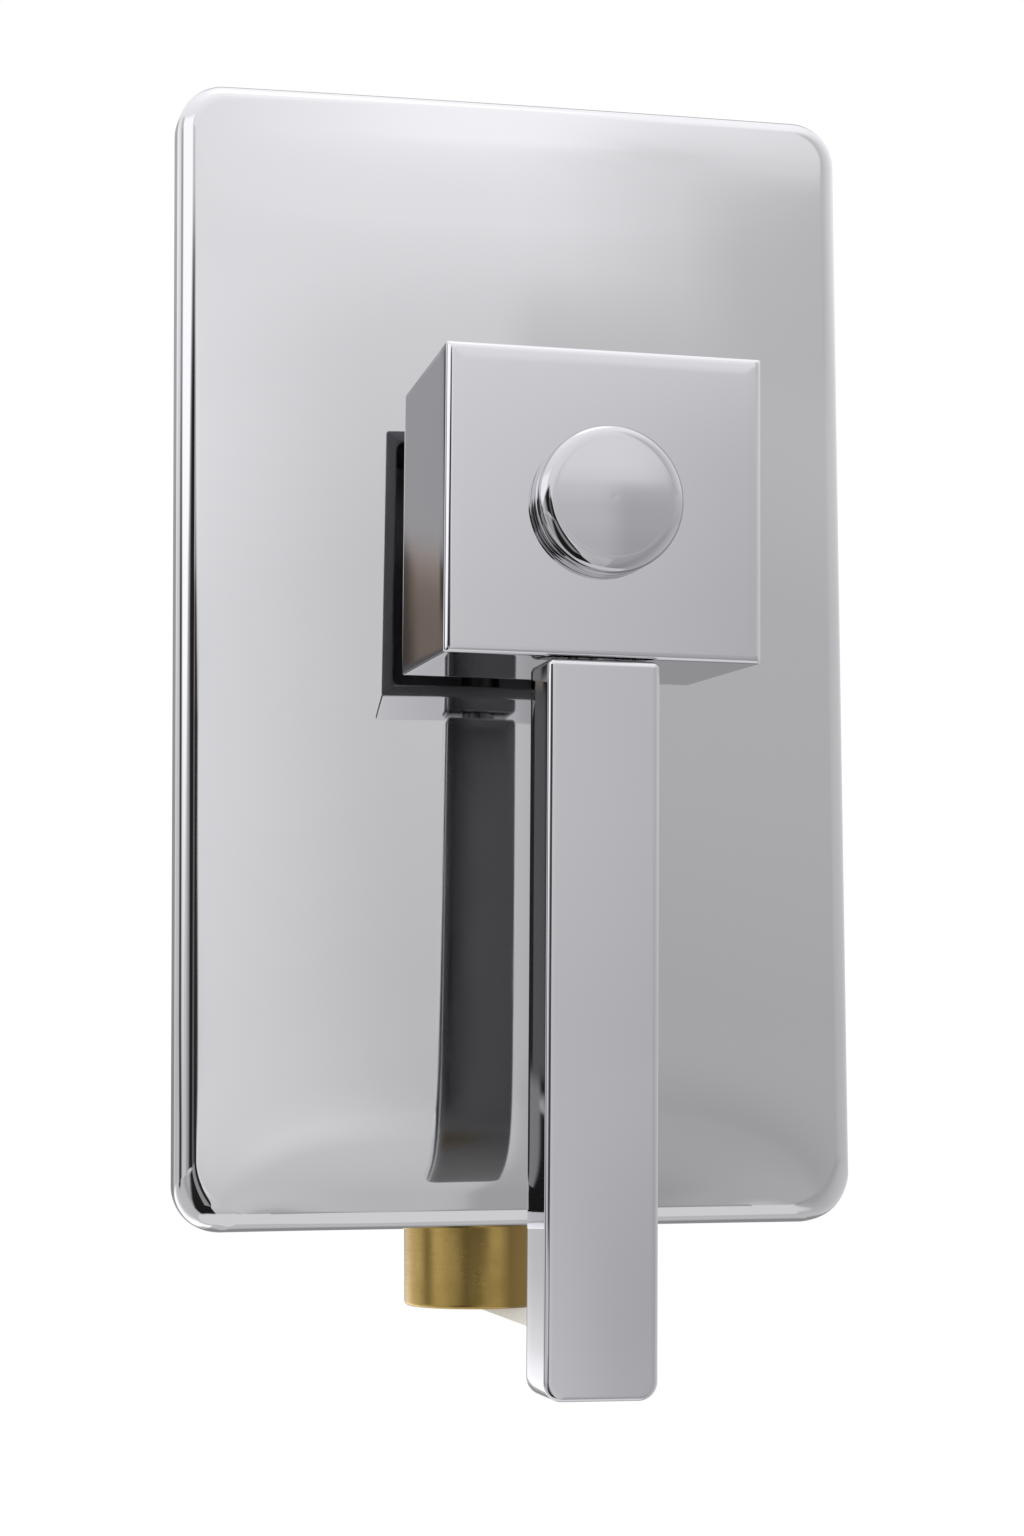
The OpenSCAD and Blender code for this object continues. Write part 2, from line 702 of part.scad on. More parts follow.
// Two rubber rings in the spindle's grooves.
module spindle_orings() {
    ring_mid = (neck_out - floor_in) / 2;
    color([0.05, 0.05, 0.05]) at_rest() for (side = [-1, 1]) {
        from_wall(ring_mid + side * spindle_ring_pitch / 2)
            oring(ring_seat_r() + spindle_ring_r, spindle_ring_r - lap_gap / 4);
    }
}

// Open spring clip in front of the headwork's neck.
module spindle_clip() {
    color([0.62, 0.63, 0.65]) at_rest() from_wall(clip_out) difference() {
        tube(clip_r, spindle_r - clip_groove_d + lap_gap, clip_t);
        translate([-clip_gap / 2, 0, -cut]) cube([clip_gap, clip_r + cut, clip_t + 2 * cut]);
    }
}

// Brass piece between the spindle's spline and the handle.
module spindle_extension() {
    shaft_l = extension_shoulder - extension_back;
    spline_l = extension_end - extension_shoulder;
    color([0.80, 0.66, 0.38]) at_rest() from_wall() difference() {
        union() {
            translate([0, 0, extension_back]) cylinder(r = extension_r, h = shaft_l);
            translate([0, 0, extension_shoulder - cut]) linear_extrude(spline_l + cut)
                spline(extension_spline_r);
        }
        translate([0, 0, extension_back - cut]) linear_extrude(socket_l + cut)
            spline(spindle_spline_r + fit_gap);
        translate([0, 0, extension_end - extension_tap_l])
            cylinder(r = screw_r + fit_gap, h = extension_tap_l + cut);
    }
}

// Moulded sleeve in the hub's boss, splined inside.
module hub_insert() {
    color([0.12, 0.12, 0.13]) at_rest() from_wall(insert_back) difference() {
        cylinder(r = insert_r, h = insert_l);
        translate([0, 0, -cut]) linear_extrude(insert_l + 2 * cut) spline(extension_spline_r + fit_gap);
    }
}

// Cube hub, hollow at the back, with a boss, a front bore and a stud hole below.
module handle_hub() {
    hollow_w = hub_w - 2 * hub_wall;
    hollow_h = hub_h - 2 * hub_wall;
    boss_l = hub_front - insert_back - cut;
    color([0.78, 0.78, 0.81]) at_rest() difference() {
        from_wall() difference() {
            drafted_block(hub_w, hub_h, hub_front, hub_back, hub_edge_r);
            difference() {
                drafted_block(hollow_w, hollow_h, web_back, hub_back - cut, hub_edge_r);
                translate([0, 0, insert_back + cut]) cylinder(r = hub_boss_r, h = boss_l);
                translate([0, hub_wall / 2 - hub_h / 2, stud_out]) rotate([-90, 0, 0])
                    cylinder(r = stud_r + stud_boss_wall, h = hub_h / 2 - hub_boss_r / 2);
            }
        }
        from_wall(bore_floor) cylinder(r = button_bore_r, h = hub_front - bore_floor + cut);
        from_wall(insert_back) cylinder(r = insert_r + lap_gap, h = insert_l);
        from_wall(web_back - cut) cylinder(r = screw_r + loose_gap, h = hub_web + 2 * cut);
        translate([0, -stud_out, -hub_h / 2 - cut])
            cylinder(r = stud_r + fit_gap, h = stud_in_hub + cut + fit_gap);
    }
}

// Screw that pulls the hub on to the extension.
module handle_screw() {
    color([0.62, 0.63, 0.65]) at_rest() from_wall(bore_floor + washer_t) difference() {
        union() {
            cylinder(r = screw_head_r, h = screw_head_h);
            translate([0, 0, -screw_l]) cylinder(r = screw_r, h = screw_l + screw_head_h / 2);
        }
        translate([0, 0, screw_head_h - screw_socket_d])
            cylinder(r = screw_socket_r, h = screw_socket_d + cut, $fn = 6);
    }
}

// Washer under the screw's head.
module screw_washer() {
    color([0.62, 0.63, 0.65]) at_rest() from_wall(bore_floor) tube(washer_r, screw_r + fit_gap, washer_t);
}

// Collar at the foot of the button.
module button_ring() {
    color([0.74, 0.74, 0.77]) at_rest() from_wall(hub_front) difference() {
        soft_disc(button_r, button_ring_h, button_ring_h / 4);
        translate([0, 0, -cut]) cylinder(r = button_bore_r, h = button_ring_h + 2 * cut);
    }
}

// Domed button with its skirt and the groove for its rubber ring.
module button_cap() {
    cap_h = button_h - button_ring_h;
    skirt_l = button_skirt_l + button_ring_h;
    flat_r = button_r - button_edge_r;
    dome_r = (flat_r * flat_r + button_crown * button_crown) / (2 * button_crown);
    color([0.78, 0.78, 0.81]) at_rest() from_wall(hub_front + button_ring_h) difference() {
        union() {
            cylinder(r = button_r - button_groove_d, h = button_groove_h + cut);
            translate([0, 0, button_groove_h])
                soft_disc(button_r, cap_h - button_groove_h - button_crown, button_edge_r);
            rotate_extrude() intersection() {
                translate([0, cap_h - dome_r]) circle(dome_r, $fn = 360);
                translate([0, cap_h - 2 * button_crown]) square([flat_r, 2 * button_crown]);
            }
            translate([0, 0, -skirt_l]) cylinder(r = skirt_r, h = skirt_l + cut);
        }
        translate([0, 0, -skirt_l - cut])
            cylinder(r = skirt_r - button_skirt_t, h = skirt_l + cut + button_groove_h);
        translate([0, 0, button_skirt_l / 2 - skirt_l - button_oring_r - lap_gap])
            tube(skirt_r + cut, oring_groove_r, 2 * (button_oring_r + lap_gap));
    }
}

// Rubber ring on the button's skirt.
module cap_oring() {
    color([0.05, 0.05, 0.05]) at_rest() from_wall(oring_out)
        oring(oring_groove_r + button_oring_r, button_oring_r - lap_gap / 4);
}

// Threaded stud between hub and bar.
module lever_stud() {
    color([0.62, 0.63, 0.65]) at_rest() translate([0, -stud_out, lever_top - stud_in_lever])
        cylinder(r = stud_r, h = stud_in_lever + lever_seam + stud_in_hub);
}

// Bar below the hub, with a small round seat that leaves the seam open.
module lever_bar() {
    color([0.78, 0.78, 0.81]) at_rest() difference() {
        union() {
            translate([0, 0, lever_top - lever_l / 2]) from_wall(hub_front - lever_t)
                soft_slab(lever_w, lever_l, lever_t, lever_corner_r, lever_edge_r);
            translate([0, -stud_out, lever_top - cut]) cylinder(r = lever_seat_r, h = cut + lever_seam);
        }
        translate([0, -stud_out, lever_top - stud_in_lever - fit_gap])
            cylinder(r = stud_r + fit_gap, h = stud_in_lever + lever_seam + fit_gap + cut);
    }
}

wall_plate();
plate_gasket();
sleeve_tube();
sleeve_cap();
sleeve_oring();
valve_body();
tail_seal();
lower_tail();
lower_plug();
headwork_housing();
headwork_seal();
seat_seal();
fixed_disc();
moving_disc();
spindle();
spindle_orings();
spindle_clip();
spindle_extension();
hub_insert();
handle_hub();
handle_screw();
screw_washer();
button_ring();
button_cap();
cap_oring();
lever_stud();
lever_bar();
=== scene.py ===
# %% [markdown]
# # A concealed stop valve, dressed in chrome and brass
#
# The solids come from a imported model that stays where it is. This script gives every
# solid a finish, rebuilds the pieces that show most as smooth surfaces, and puts the
# valve in a small studio. Mirrors show their surroundings more than themselves, so
# half of the work is the studio that they reflect.

# %% Load the fixed frame
import math

import bpy
import numpy as np
from mathutils import Matrix


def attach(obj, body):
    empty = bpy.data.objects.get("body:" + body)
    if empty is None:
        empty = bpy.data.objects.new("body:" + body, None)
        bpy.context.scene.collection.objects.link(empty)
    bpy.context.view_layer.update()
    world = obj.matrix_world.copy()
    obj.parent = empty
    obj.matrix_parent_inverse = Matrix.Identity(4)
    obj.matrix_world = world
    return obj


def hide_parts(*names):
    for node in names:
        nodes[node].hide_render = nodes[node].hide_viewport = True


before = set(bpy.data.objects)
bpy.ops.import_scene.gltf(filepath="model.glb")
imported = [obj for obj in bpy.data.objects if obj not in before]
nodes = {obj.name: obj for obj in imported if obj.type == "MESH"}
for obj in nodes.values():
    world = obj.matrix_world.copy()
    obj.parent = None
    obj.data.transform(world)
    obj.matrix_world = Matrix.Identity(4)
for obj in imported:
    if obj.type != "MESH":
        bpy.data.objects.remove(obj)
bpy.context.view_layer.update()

# %% [markdown]
# ## Measures
#
# Millimetres are easier to read for a valve than metres. The frame's origin is on the
# valve's axis in the wall's plane, and "out" is the distance from the wall towards the
# room. The handle hangs a fraction of a degree off plumb, as in the photograph.

# %% Measures of the object
MM = 0.001
PLATE_W, PLATE_H, PLATE_DROP = 120.0, 199.0, 17.0
PLATE_OUT, PLATE_WALL, PLATE_CORNER, PLATE_EDGE = 9.0, 1.5, 8.0, 3.6
SLEEVE_R, SLEEVE_WALL, SLEEVE_END, SLEEVE_FOOT = 19.6, 3.0, 34.0, -13.0
HUB_W, HUB_H, HUB_BACK, HUB_FRONT = 51.7, 49.4, 29.0, 67.0
HUB_DRAFT = math.radians(1.4)
BUTTON_R, BUTTON_OUT = 11.8, 5.5
LEVER_W, LEVER_L, LEVER_T, LEVER_TOP = 18.2, 114.9, 12.0, -25.0
HANDLE_TURN = math.radians(0.8)
BARREL_Y, BARREL_R, BARREL_TOP, BARREL_END = 28.0, 13.4, -46.0, -132.0

# %% [markdown]
# ## From arrays to meshes
#
# Every new piece is a grid of points: one direction runs round the piece, the other
# along a profile. A closed profile that is carried round a closed path makes a torus
# of quads without seams or poles. The signed volume tells which way the faces point,
# so a grid that came out inside out is turned over before it becomes a mesh.

# %% Grids and meshes
SHARP = math.radians(28)


def grid_quads(rows, cols, wrap_rows=True, wrap_cols=True):
    """Quads of a grid: corner (i, j) joins (i+1, j), (i+1, j+1) and (i, j+1), modulo the size where it wraps."""
    i = np.arange(rows if wrap_rows else rows - 1)[:, None]
    j = np.arange(cols if wrap_cols else cols - 1)[None, :]
    i_next, j_next = (i + 1) % rows, (j + 1) % cols
    quads = [i * cols + j, i_next * cols + j, i_next * cols + j_next, i * cols + j_next]
    return np.stack(quads, -1).reshape(-1, 4)


def outward(points, quads):
    """Turns the faces round where the signed volume, the sum of a . (b x c) / 6 over the triangles, is negative."""
    a, b, c, d = (points[quads[:, k]] for k in range(4))
    first, second = np.cross(b, c), np.cross(c, d)
    volume = (np.einsum("ij,ij->i", a, first) + np.einsum("ij,ij->i", a, second)).sum() / 6
    return quads if volume > 0 else quads[:, ::-1]


def make_piece(name, shells, body, replaced=(), turn=0.0):
    """One object from closed shells, each (points in mm, quads).

    It rides on body and stands for the replaced nodes. The turn leans it about the valve's axis, in radians."""
    points = np.concatenate([s[0] for s in shells]) * MM
    starts = np.cumsum([0] + [len(s[0]) for s in shells[:-1]])
    quads = np.concatenate([outward(p, q) + start for (p, q), start in zip(shells, starts)])
    c, s = math.cos(turn), math.sin(turn)
    points = points @ np.array([[c, 0, s], [0, 1, 0], [-s, 0, c]]).T
    # a quad that names a point twice is a triangle
    corners = [list(dict.fromkeys(q)) for q in quads.tolist()]
    mesh = bpy.data.meshes.new(name)
    mesh.from_pydata(points.tolist(), [], corners)
    mesh.polygons.foreach_set("use_smooth", np.ones(len(mesh.polygons), bool))
    mesh.set_sharp_from_angle(angle=SHARP)
    mesh.update()
    piece = bpy.data.objects.new(name, mesh)
    bpy.context.scene.collection.objects.link(piece)
    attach(piece, body)
    if replaced:
        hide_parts(*replaced)
    print(f"{name}: {len(mesh.vertices)} points, {len(mesh.polygons)} faces")
    return piece


# %% [markdown]
# ## Profiles with rounded corners
#
# No edge on a plated or turned piece is truly sharp, and the thin bright lines along
# the edges are what makes chrome look like chrome. So each profile is written as its
# corners, each with a radius, and the arcs are worked out from the tangents.

# %% Rounded profiles
def rounded(corners, steps=6):
    """Closed outline from corners (x, y, radius). The arc touches both sides at r / tan(angle / 2) from the corner."""
    corners = np.array(corners, float)
    out = []
    for k, (x, y, r) in enumerate(corners):
        here = np.array([x, y])
        if r <= 0:
            out.append(here[None])
            continue
        to_last = corners[k - 1, :2] - here
        to_next = corners[(k + 1) % len(corners), :2] - here
        to_last, to_next = to_last / np.linalg.norm(to_last), to_next / np.linalg.norm(to_next)
        half = math.acos(np.clip(to_last @ to_next, -1, 1)) / 2
        centre = here + (to_last + to_next) / np.linalg.norm(to_last + to_next) * r / math.sin(half)
        first = here + to_last * r / math.tan(half) - centre
        last = here + to_next * r / math.tan(half) - centre
        sweep = math.pi - 2 * half
        t = np.linspace(0, 1, steps + 1)[:, None]
        arc = first * np.sin((1 - t) * sweep) + last * np.sin(t * sweep)
        out.append(centre + arc / math.sin(sweep))
    return np.concatenate(out)


def turned(profile, around=128, axis="y", centre=(0.0, 0.0)):
    """Surface of revolution of a closed outline (radius, height): (r cos a, r sin a) round the axis."""
    profile = np.asarray(profile)
    a = np.linspace(0, 2 * math.pi, around, endpoint=False)[:, None]
    r, h = profile[None, :, 0], profile[None, :, 1]
    u, v = r * np.cos(a) + centre[0], r * np.sin(a) + centre[1]
    w = h + 0 * a
    grid = np.stack([u, -w, v] if axis == "y" else [u, v, w], -1)
    return grid.reshape(-1, 3), grid_quads(around, len(profile))


# %% [markdown]
# ## Rounded rectangles
#
# The plate, the hub and the bar are all rounded rectangles that change size along a
# profile. A loop has the same number of points whatever its size, so any two loops
# can be joined. Where the piece has a round hole, the loop passes over to a circle
# whose points lie at the same angles, which keeps the flat face free of folds.

# %% Loops and sections
QUADRANTS = ((1, 1), (-1, 1), (-1, -1), (1, -1))


def loop(half_w, half_h, corner, per_side=24, per_corner=12, mid=(0.0, 0.0), bunch=0.0):
    """Rounded rectangle: quarter circles about the four corner centres, straight sides between, as (n, 2).

    With bunch above 0 the points of a side crowd towards its ends: t - bunch sin(2 pi t) / (2 pi)."""
    reach = np.array([half_w - corner, half_h - corner])
    out = []
    for k, quadrant in enumerate(QUADRANTS):
        a = np.radians(90 * k + np.linspace(0, 90, per_corner + 1))
        arc = quadrant * reach + corner * np.stack([np.cos(a), np.sin(a)], -1)
        next_centre = QUADRANTS[(k + 1) % 4] * reach
        next_start = next_centre + corner * np.array([math.cos(a[-1]), math.sin(a[-1])])
        t = np.linspace(0, 1, per_side + 1)[1:-1, None]
        t = t - bunch * np.sin(2 * math.pi * t) / (2 * math.pi)
        out += [arc, arc[-1] + (next_start - arc[-1]) * t]
    return np.concatenate(out) + mid


def circle_like(base, radius):
    """Circle about the valve's axis whose points lie at the same angles as the base loop's points."""
    return radius * base / np.linalg.norm(base, axis=1, keepdims=True)


def stack(sections, close=True):
    """Closed shell through sections (loop, out): the loops are the grid's rows and the last joins the first."""
    grid = np.stack([np.stack([l[:, 0], np.full(len(l), -out), l[:, 1]], -1) for l, out in sections])
    return grid.reshape(-1, 3), grid_quads(len(sections), grid.shape[1], wrap_rows=close)


def quarter(steps=10, start=0.0, end=90.0):
    """Sines and cosines of the steps of an arc, from start to end degrees."""
    a = np.radians(np.linspace(start, end, steps + 1))
    return list(zip(np.sin(a), np.cos(a)))


def smooth(x, low, high):
    """Passes from 0 at low to 1 at high: t^2 (3 - 2 t)."""
    t = np.clip((x - low) / (high - low), 0, 1)
    return t * t * (3 - 2 * t)


# %% [markdown]
# ## The finishes
#
# Each finish is a node material with its own fine structure: plated metal is a mirror
# with a trace of waviness and haze, turned brass has rings round its axis, cast brass
# is grainy, foam is full of pores. Constants go straight to the shader's sockets.

# %% Material helpers
def finish(name, color, metallic=0.0, roughness=0.5):
    """A Principled material with its constants on the sockets; returns it with its node tree and shader."""
    material = bpy.data.materials.new(name)
    material.use_nodes = True
    tree = material.node_tree
    shader = tree.nodes["Principled BSDF"]
    shader.inputs["Base Color"].default_value = (*color, 1)
    shader.inputs["Metallic"].default_value = metallic
    shader.inputs["Roughness"].default_value = roughness
    return material, tree, shader


def object_points(tree, scale=(1, 1, 1)):
    """Object coordinates, stretched by scale."""
    where = tree.nodes.new("ShaderNodeTexCoord")
    mapping = tree.nodes.new("ShaderNodeMapping")
    mapping.inputs["Scale"].default_value = scale
    tree.links.new(where.outputs["Object"], mapping.inputs["Vector"])
    return mapping.outputs["Vector"]


def noise(tree, vector, scale, detail=2.0, rough=0.5):
    """A noise texture's value, from 0 to 1."""
    texture = tree.nodes.new("ShaderNodeTexNoise")
    texture.inputs["Scale"].default_value = scale
    texture.inputs["Detail"].default_value = detail
    texture.inputs["Roughness"].default_value = rough
    tree.links.new(vector, texture.inputs["Vector"])
    return texture.outputs["Fac"]


def ranged(tree, value, low, high, from_low=0.3, from_high=0.7):
    """Maps from_low..from_high to low..high."""
    node = tree.nodes.new("ShaderNodeMapRange")
    limits = {"From Min": from_low, "From Max": from_high, "To Min": low, "To Max": high}
    for key, limit in limits.items():
        node.inputs[key].default_value = limit
    tree.links.new(value, node.inputs["Value"])
    return node.outputs["Result"]


def along(tree, axis, start, end):
    """0 at start, 1 at end, in metres along an object's own axis."""
    where = tree.nodes.new("ShaderNodeTexCoord")
    parts = tree.nodes.new("ShaderNodeSeparateXYZ")
    tree.links.new(where.outputs["Object"], parts.inputs["Vector"])
    return ranged(tree, parts.outputs[axis], 0, 1, start, end)


# %% [markdown]
# Two more helpers: one passes between two colours, and one turns a height into a bump,
# which is how fine grain gets on a surface without more points.

# %% Colour and bump helpers
def mixed(tree, factor, first, second):
    """A colour between two, by factor. The first is a plain colour or another node's output."""
    mix = tree.nodes.new("ShaderNodeMix")
    mix.data_type = "RGBA"
    if isinstance(first, tuple):
        mix.inputs["A"].default_value = (*first, 1)
    else:
        tree.links.new(first, mix.inputs["A"])
    mix.inputs["B"].default_value = (*second, 1)
    tree.links.new(factor, mix.inputs["Factor"])
    return mix.outputs["Result"]


def bumped(tree, shader, height, strength, distance):
    """Puts a bump from a height on the shader's normal; distance is the bump's full height in metres."""
    bump = tree.nodes.new("ShaderNodeBump")
    bump.inputs["Strength"].default_value = strength
    bump.inputs["Distance"].default_value = distance
    tree.links.new(height, bump.inputs["Height"])
    tree.links.new(bump.outputs["Normal"], shader.inputs["Normal"])


# %% [markdown]
# ### Chrome
#
# Chrome plating reflects a little under two thirds of the light, with a cold cast. The
# haze comes from a noise a centimetre or two across, and a very weak bump wrinkles what
# the plate mirrors, as in polished sheet. The button is plated darker. The bar's hidden
# back face is duller still and painted dark as shade, with a paler lower end below the
# plate that is painted light, and the inside of the hub's casting has no polish at all.

# %% Chrome
PLATING = (0.64, 0.64, 0.655)


def chrome(name, base=PLATING, haze=(0.02, 0.05), ripple=0.0, foot=None):
    """Plated metal: haze is the range of its roughness, ripple the strength of a bump.

    foot = (colour, start, end) is another tone that its lower end passes to, between two heights in metres. On the
    bar's back it is painted light: paler where the bar comes out below the plate's shade."""
    material, tree, shader = finish(name, base, 1.0, 0.04)
    points = object_points(tree)
    tree.links.new(ranged(tree, noise(tree, points, 60, 3), *haze), shader.inputs["Roughness"])
    darker = tuple(0.975 * c for c in base)
    shade = mixed(tree, noise(tree, points, 25, 2), darker, base)
    if foot:
        color, start, end = foot
        shade = mixed(tree, along(tree, "Z", start, end), shade, color)
    tree.links.new(shade, shader.inputs["Base Color"])
    if ripple:
        bumped(tree, shader, noise(tree, points, 90, 1), ripple, 0.001)
    return material


plate_chrome = chrome("plate_chrome", ripple=0.004)
hub_chrome = chrome("hub_chrome", base=(0.64, 0.635, 0.66))
button_chrome = chrome("button_chrome", base=(0.55, 0.545, 0.57))
sleeve_chrome = chrome("sleeve_chrome", haze=(0.04, 0.08))
# painted shade: the bar's back and top are dark where the plate and the hub shade them; the paler foot tone below the
# plate is painted light
bar_back_painted_shade = chrome("bar_back_painted_shade", base=(0.23, 0.23, 0.235), haze=(0.17, 0.24),
                         foot=((0.50, 0.495, 0.49), -0.110, -0.137))
cast_zinc = chrome("cast_zinc", base=(0.26, 0.26, 0.27), haze=(0.42, 0.55))
print("chrome:", plate_chrome.name, hub_chrome.name, button_chrome.name, sleeve_chrome.name)

# %% [markdown]
# ### Brass
#
# Brass left bare comes in two states here. The barrel and the headwork are turned, so
# fine rings run round their axis; the body is a casting that keeps its grain and is
# only machined at its faces. Both have duller patches. The barrel also shows a dark
# upright stripe right of its middle and a somewhat paler one beside it.

# %% Brass
def brass(name, axis="z", fresh=(0.60, 0.42, 0.14), dull=(0.40, 0.27, 0.08), roughness=(0.34, 0.22),
          grain=0.0, x_stripes=()):
    """Bare brass with duller patches, and either turning rings round an axis or a cast grain.

    roughness goes from dull to fresh; the last argument lists colour bands (colour, start, end) along X, in metres,
    that the colour passes to from start to end."""
    material, tree, shader = finish(name, fresh, 1.0, 0.3)
    patches = noise(tree, object_points(tree), 55, 5, 0.65)
    shade = mixed(tree, ranged(tree, patches, 0, 1), dull, fresh)
    for color, start, end in x_stripes:
        shade = mixed(tree, along(tree, "X", start, end), shade, color)
    tree.links.new(shade, shader.inputs["Base Color"])
    tree.links.new(ranged(tree, patches, *roughness), shader.inputs["Roughness"])
    if grain:
        bumped(tree, shader, noise(tree, object_points(tree), 900, 3), grain, 0.0004)
    else:
        stretch = {"z": (1, 1, 60), "y": (1, 60, 1)}[axis]
        rings = noise(tree, object_points(tree, stretch), 40, 4, 0.7)
        bumped(tree, shader, rings, 0.12, 0.0002)
    return material


# Colour bands along X on the barrel: darker from 1.2 mm right of its axis, and a little less dark from 6.2 mm on.
BARREL_X_STRIPES = (((0.27, 0.18, 0.06), 0.0012, 0.0032), ((0.40, 0.30, 0.11), 0.0062, 0.0080))
barrel_brass = brass("barrel_brass", x_stripes=BARREL_X_STRIPES)
turned_brass = brass("turned_brass", axis="y")
cast_brass = brass("cast_brass", fresh=(0.55, 0.39, 0.15), dull=(0.42, 0.29, 0.11), roughness=(0.48, 0.34), grain=0.5)
print("brass:", barrel_brass.name, turned_brass.name, cast_brass.name)

# %% [markdown]
# ### Seals, plastics, steel and ceramic
#
# The other pieces are seals, a gasket, moulded plastics, plated steel and two ceramic
# discs. Each is small, and most are hidden, but each has its own surface. Then every
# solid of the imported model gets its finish.

# %% Seals, plastics, steel and ceramic
def grained(name, color, other, roughness, scale, strength, metallic=0.0, pores=False):
    """A mottled surface: a noise, or cells for pores, between two colours, and a bump of the same grain."""
    material, tree, shader = finish(name, color, metallic, roughness)
    points = object_points(tree)
    if pores:
        cells = tree.nodes.new("ShaderNodeTexVoronoi")
        cells.inputs["Scale"].default_value = scale
        tree.links.new(points, cells.inputs["Vector"])
        value = cells.outputs["Distance"]
    else:
        value = noise(tree, points, scale, 3)
    tree.links.new(mixed(tree, ranged(tree, value, 0, 1), color, other), shader.inputs["Base Color"])
    bumped(tree, shader, value, strength, 0.0003)
    return material


FINISHES = (
    (grained("gasket_foam", (0.030, 0.030, 0.033), (0.012, 0.012, 0.013), 0.9, 1400, 0.8, pores=True),
     ["plate_gasket"]),
    (grained("fibre", (0.30, 0.10, 0.05), (0.20, 0.06, 0.03), 0.8, 700, 0.5),
     ["tail_seal", "headwork_seal"]),
    (grained("white_plastic", (0.80, 0.77, 0.70), (0.74, 0.71, 0.64), 0.42, 260, 0.12),
     ["lower_plug"]),
    (grained("ceramic", (0.85, 0.84, 0.81), (0.80, 0.79, 0.76), 0.12, 500, 0.02),
     ["fixed_disc", "moving_disc"]),
    (grained("black_plastic", (0.022, 0.022, 0.024), (0.012, 0.012, 0.013), 0.5, 600, 0.15),
     ["hub_insert"]),
    (grained("rubber", (0.012, 0.012, 0.012), (0.022, 0.022, 0.022), 0.6, 800, 0.1),
     ["sleeve_oring", "seat_seal", "spindle_orings", "cap_oring"]),
    (grained("plated_steel", (0.50, 0.50, 0.52), (0.42, 0.42, 0.43), 0.28, 400, 0.06, metallic=1.0),
     ["handle_screw", "screw_washer", "spindle_clip", "lever_stud"]),
    (hub_chrome,
     ["wall_plate", "sleeve_tube", "sleeve_cap", "button_ring", "button_cap", "handle_hub", "lever_bar"]),
    (turned_brass, ["headwork_housing", "spindle", "spindle_extension"]),
    (cast_brass, ["valve_body"]),
    (barrel_brass, ["lower_tail"]),
)
for material, names in FINISHES:
    for name in names:
        nodes[name].data.materials.clear()
        nodes[name].data.materials.append(material)
print("finishes on", sum(len(names) for _, names in FINISHES), "of", len(nodes), "nodes")

# %% [markdown]
# ### Two finishes on one piece
#
# The hub is plated outside and left as cast inside, and the bar's back is duller than
# its front and painted dark as shade. So a piece can have a second finish on the faces that a rule picks out.

# %% Two finishes on one piece
def two_toned(piece, material, chosen):
    """Gives a second finish to the faces for which chosen(x, out, z, facing_wall) holds, in mm."""
    faces = piece.data.polygons
    centre, normal = np.empty(3 * len(faces)), np.empty(3 * len(faces))
    faces.foreach_get("center", centre)
    faces.foreach_get("normal", normal)
    x, y, z = centre.reshape(-1, 3).T / MM
    mask = chosen(x, -y, z, normal.reshape(-1, 3)[:, 1])
    piece.data.materials.append(material)
    faces.foreach_set("material_index", mask.astype(np.int32))
    print(piece.name, "has", int(mask.sum()), "faces in", material.name)


# %% [markdown]
# ## The plate's crown
#
# The plate's face isn't flat. The mirror images of the bar and the hub in it are
# narrower than the real things and end early, which only a crowned mirror does, so
# the face rises by some four and a half millimetres across its width and rolls down
# at its two ends. It is a little higher at the top and steeper on the left.

# %% The plate's crown
CROWN, CROWN_WAIST, CROWN_ENDS = 4.7, 0.44, 16.0
CROWN_SHIFT, CROWN_LEAN = -4.0, 0.22
ROLL_TOP, ROLL_BOTTOM = 0.95, 0.97
EVEN, EVEN_FROM, EVEN_TO = 0.8, 0.35, 0.95


def plate_rise(x, z):
    """Height of the face over its rim at (x, z), in mm.

    With u across and v up, each from -1 to 1 between the soft edges, the height is
    CROWN (1 + CROWN_LEAN v) (c - r (c + (1 - c) e)).
    Across it is a hyperbola of waist w: c = 1 - (sqrt(1 + (u/w)^2) - 1) / (sqrt(1 + 1/w^2) - 1).
    The ends roll down by r = |v|^16, and from |v| = 0.95 at the top or 0.97 at the bottom straight on.
    Where e is 0 the roll takes its share of the crown. In the middle of the lower half e rises to 0.8, and there
    it takes off nearly the same everywhere, so that the face keeps its sideways slope down to its edge."""
    half_w, half_h = PLATE_W / 2 - PLATE_EDGE, PLATE_H / 2 - PLATE_EDGE
    u = np.clip((x - CROWN_SHIFT * (1 - (x / half_w) ** 2)) / half_w, -1, 1)
    v = np.clip((z + PLATE_DROP) / half_h, -1, 1)
    across = 1 - (np.sqrt(1 + (u / CROWN_WAIST) ** 2) - 1) / (math.sqrt(1 + 1 / CROWN_WAIST**2) - 1)
    near = np.minimum(np.abs(v), np.where(v > 0, ROLL_TOP, ROLL_BOTTOM))
    roll = near**CROWN_ENDS + CROWN_ENDS * near ** (CROWN_ENDS - 1) * (np.abs(v) - near)
    even = np.where(v < 0, EVEN * (1 - smooth(np.abs(u), EVEN_FROM, EVEN_TO)), 0)
    return CROWN * (1 + CROWN_LEAN * v) * (across - roll * (across + (1 - across) * even))


print("crown over the middle:", round(float(plate_rise(np.array(0.0), np.array(-PLATE_DROP))), 2), "mm")

# %% [markdown]
# ## The plate's outlines
#
# The plate is pressed from sheet: a face that rolls over a soft shoulder into a short
# side, open at the back, with a collar turned in round the sleeve. All its sections
# are rounded rectangles about its own middle. The face's lower corners are a little
# wider than the rest.

# %% The plate's outlines
HOLE_R = SLEEVE_R + 0.4
MID = (0.0, -PLATE_DROP)
FACE_CORNER, CORNER_BLEND = 9.0, 60.0
FACE_ROWS = 84


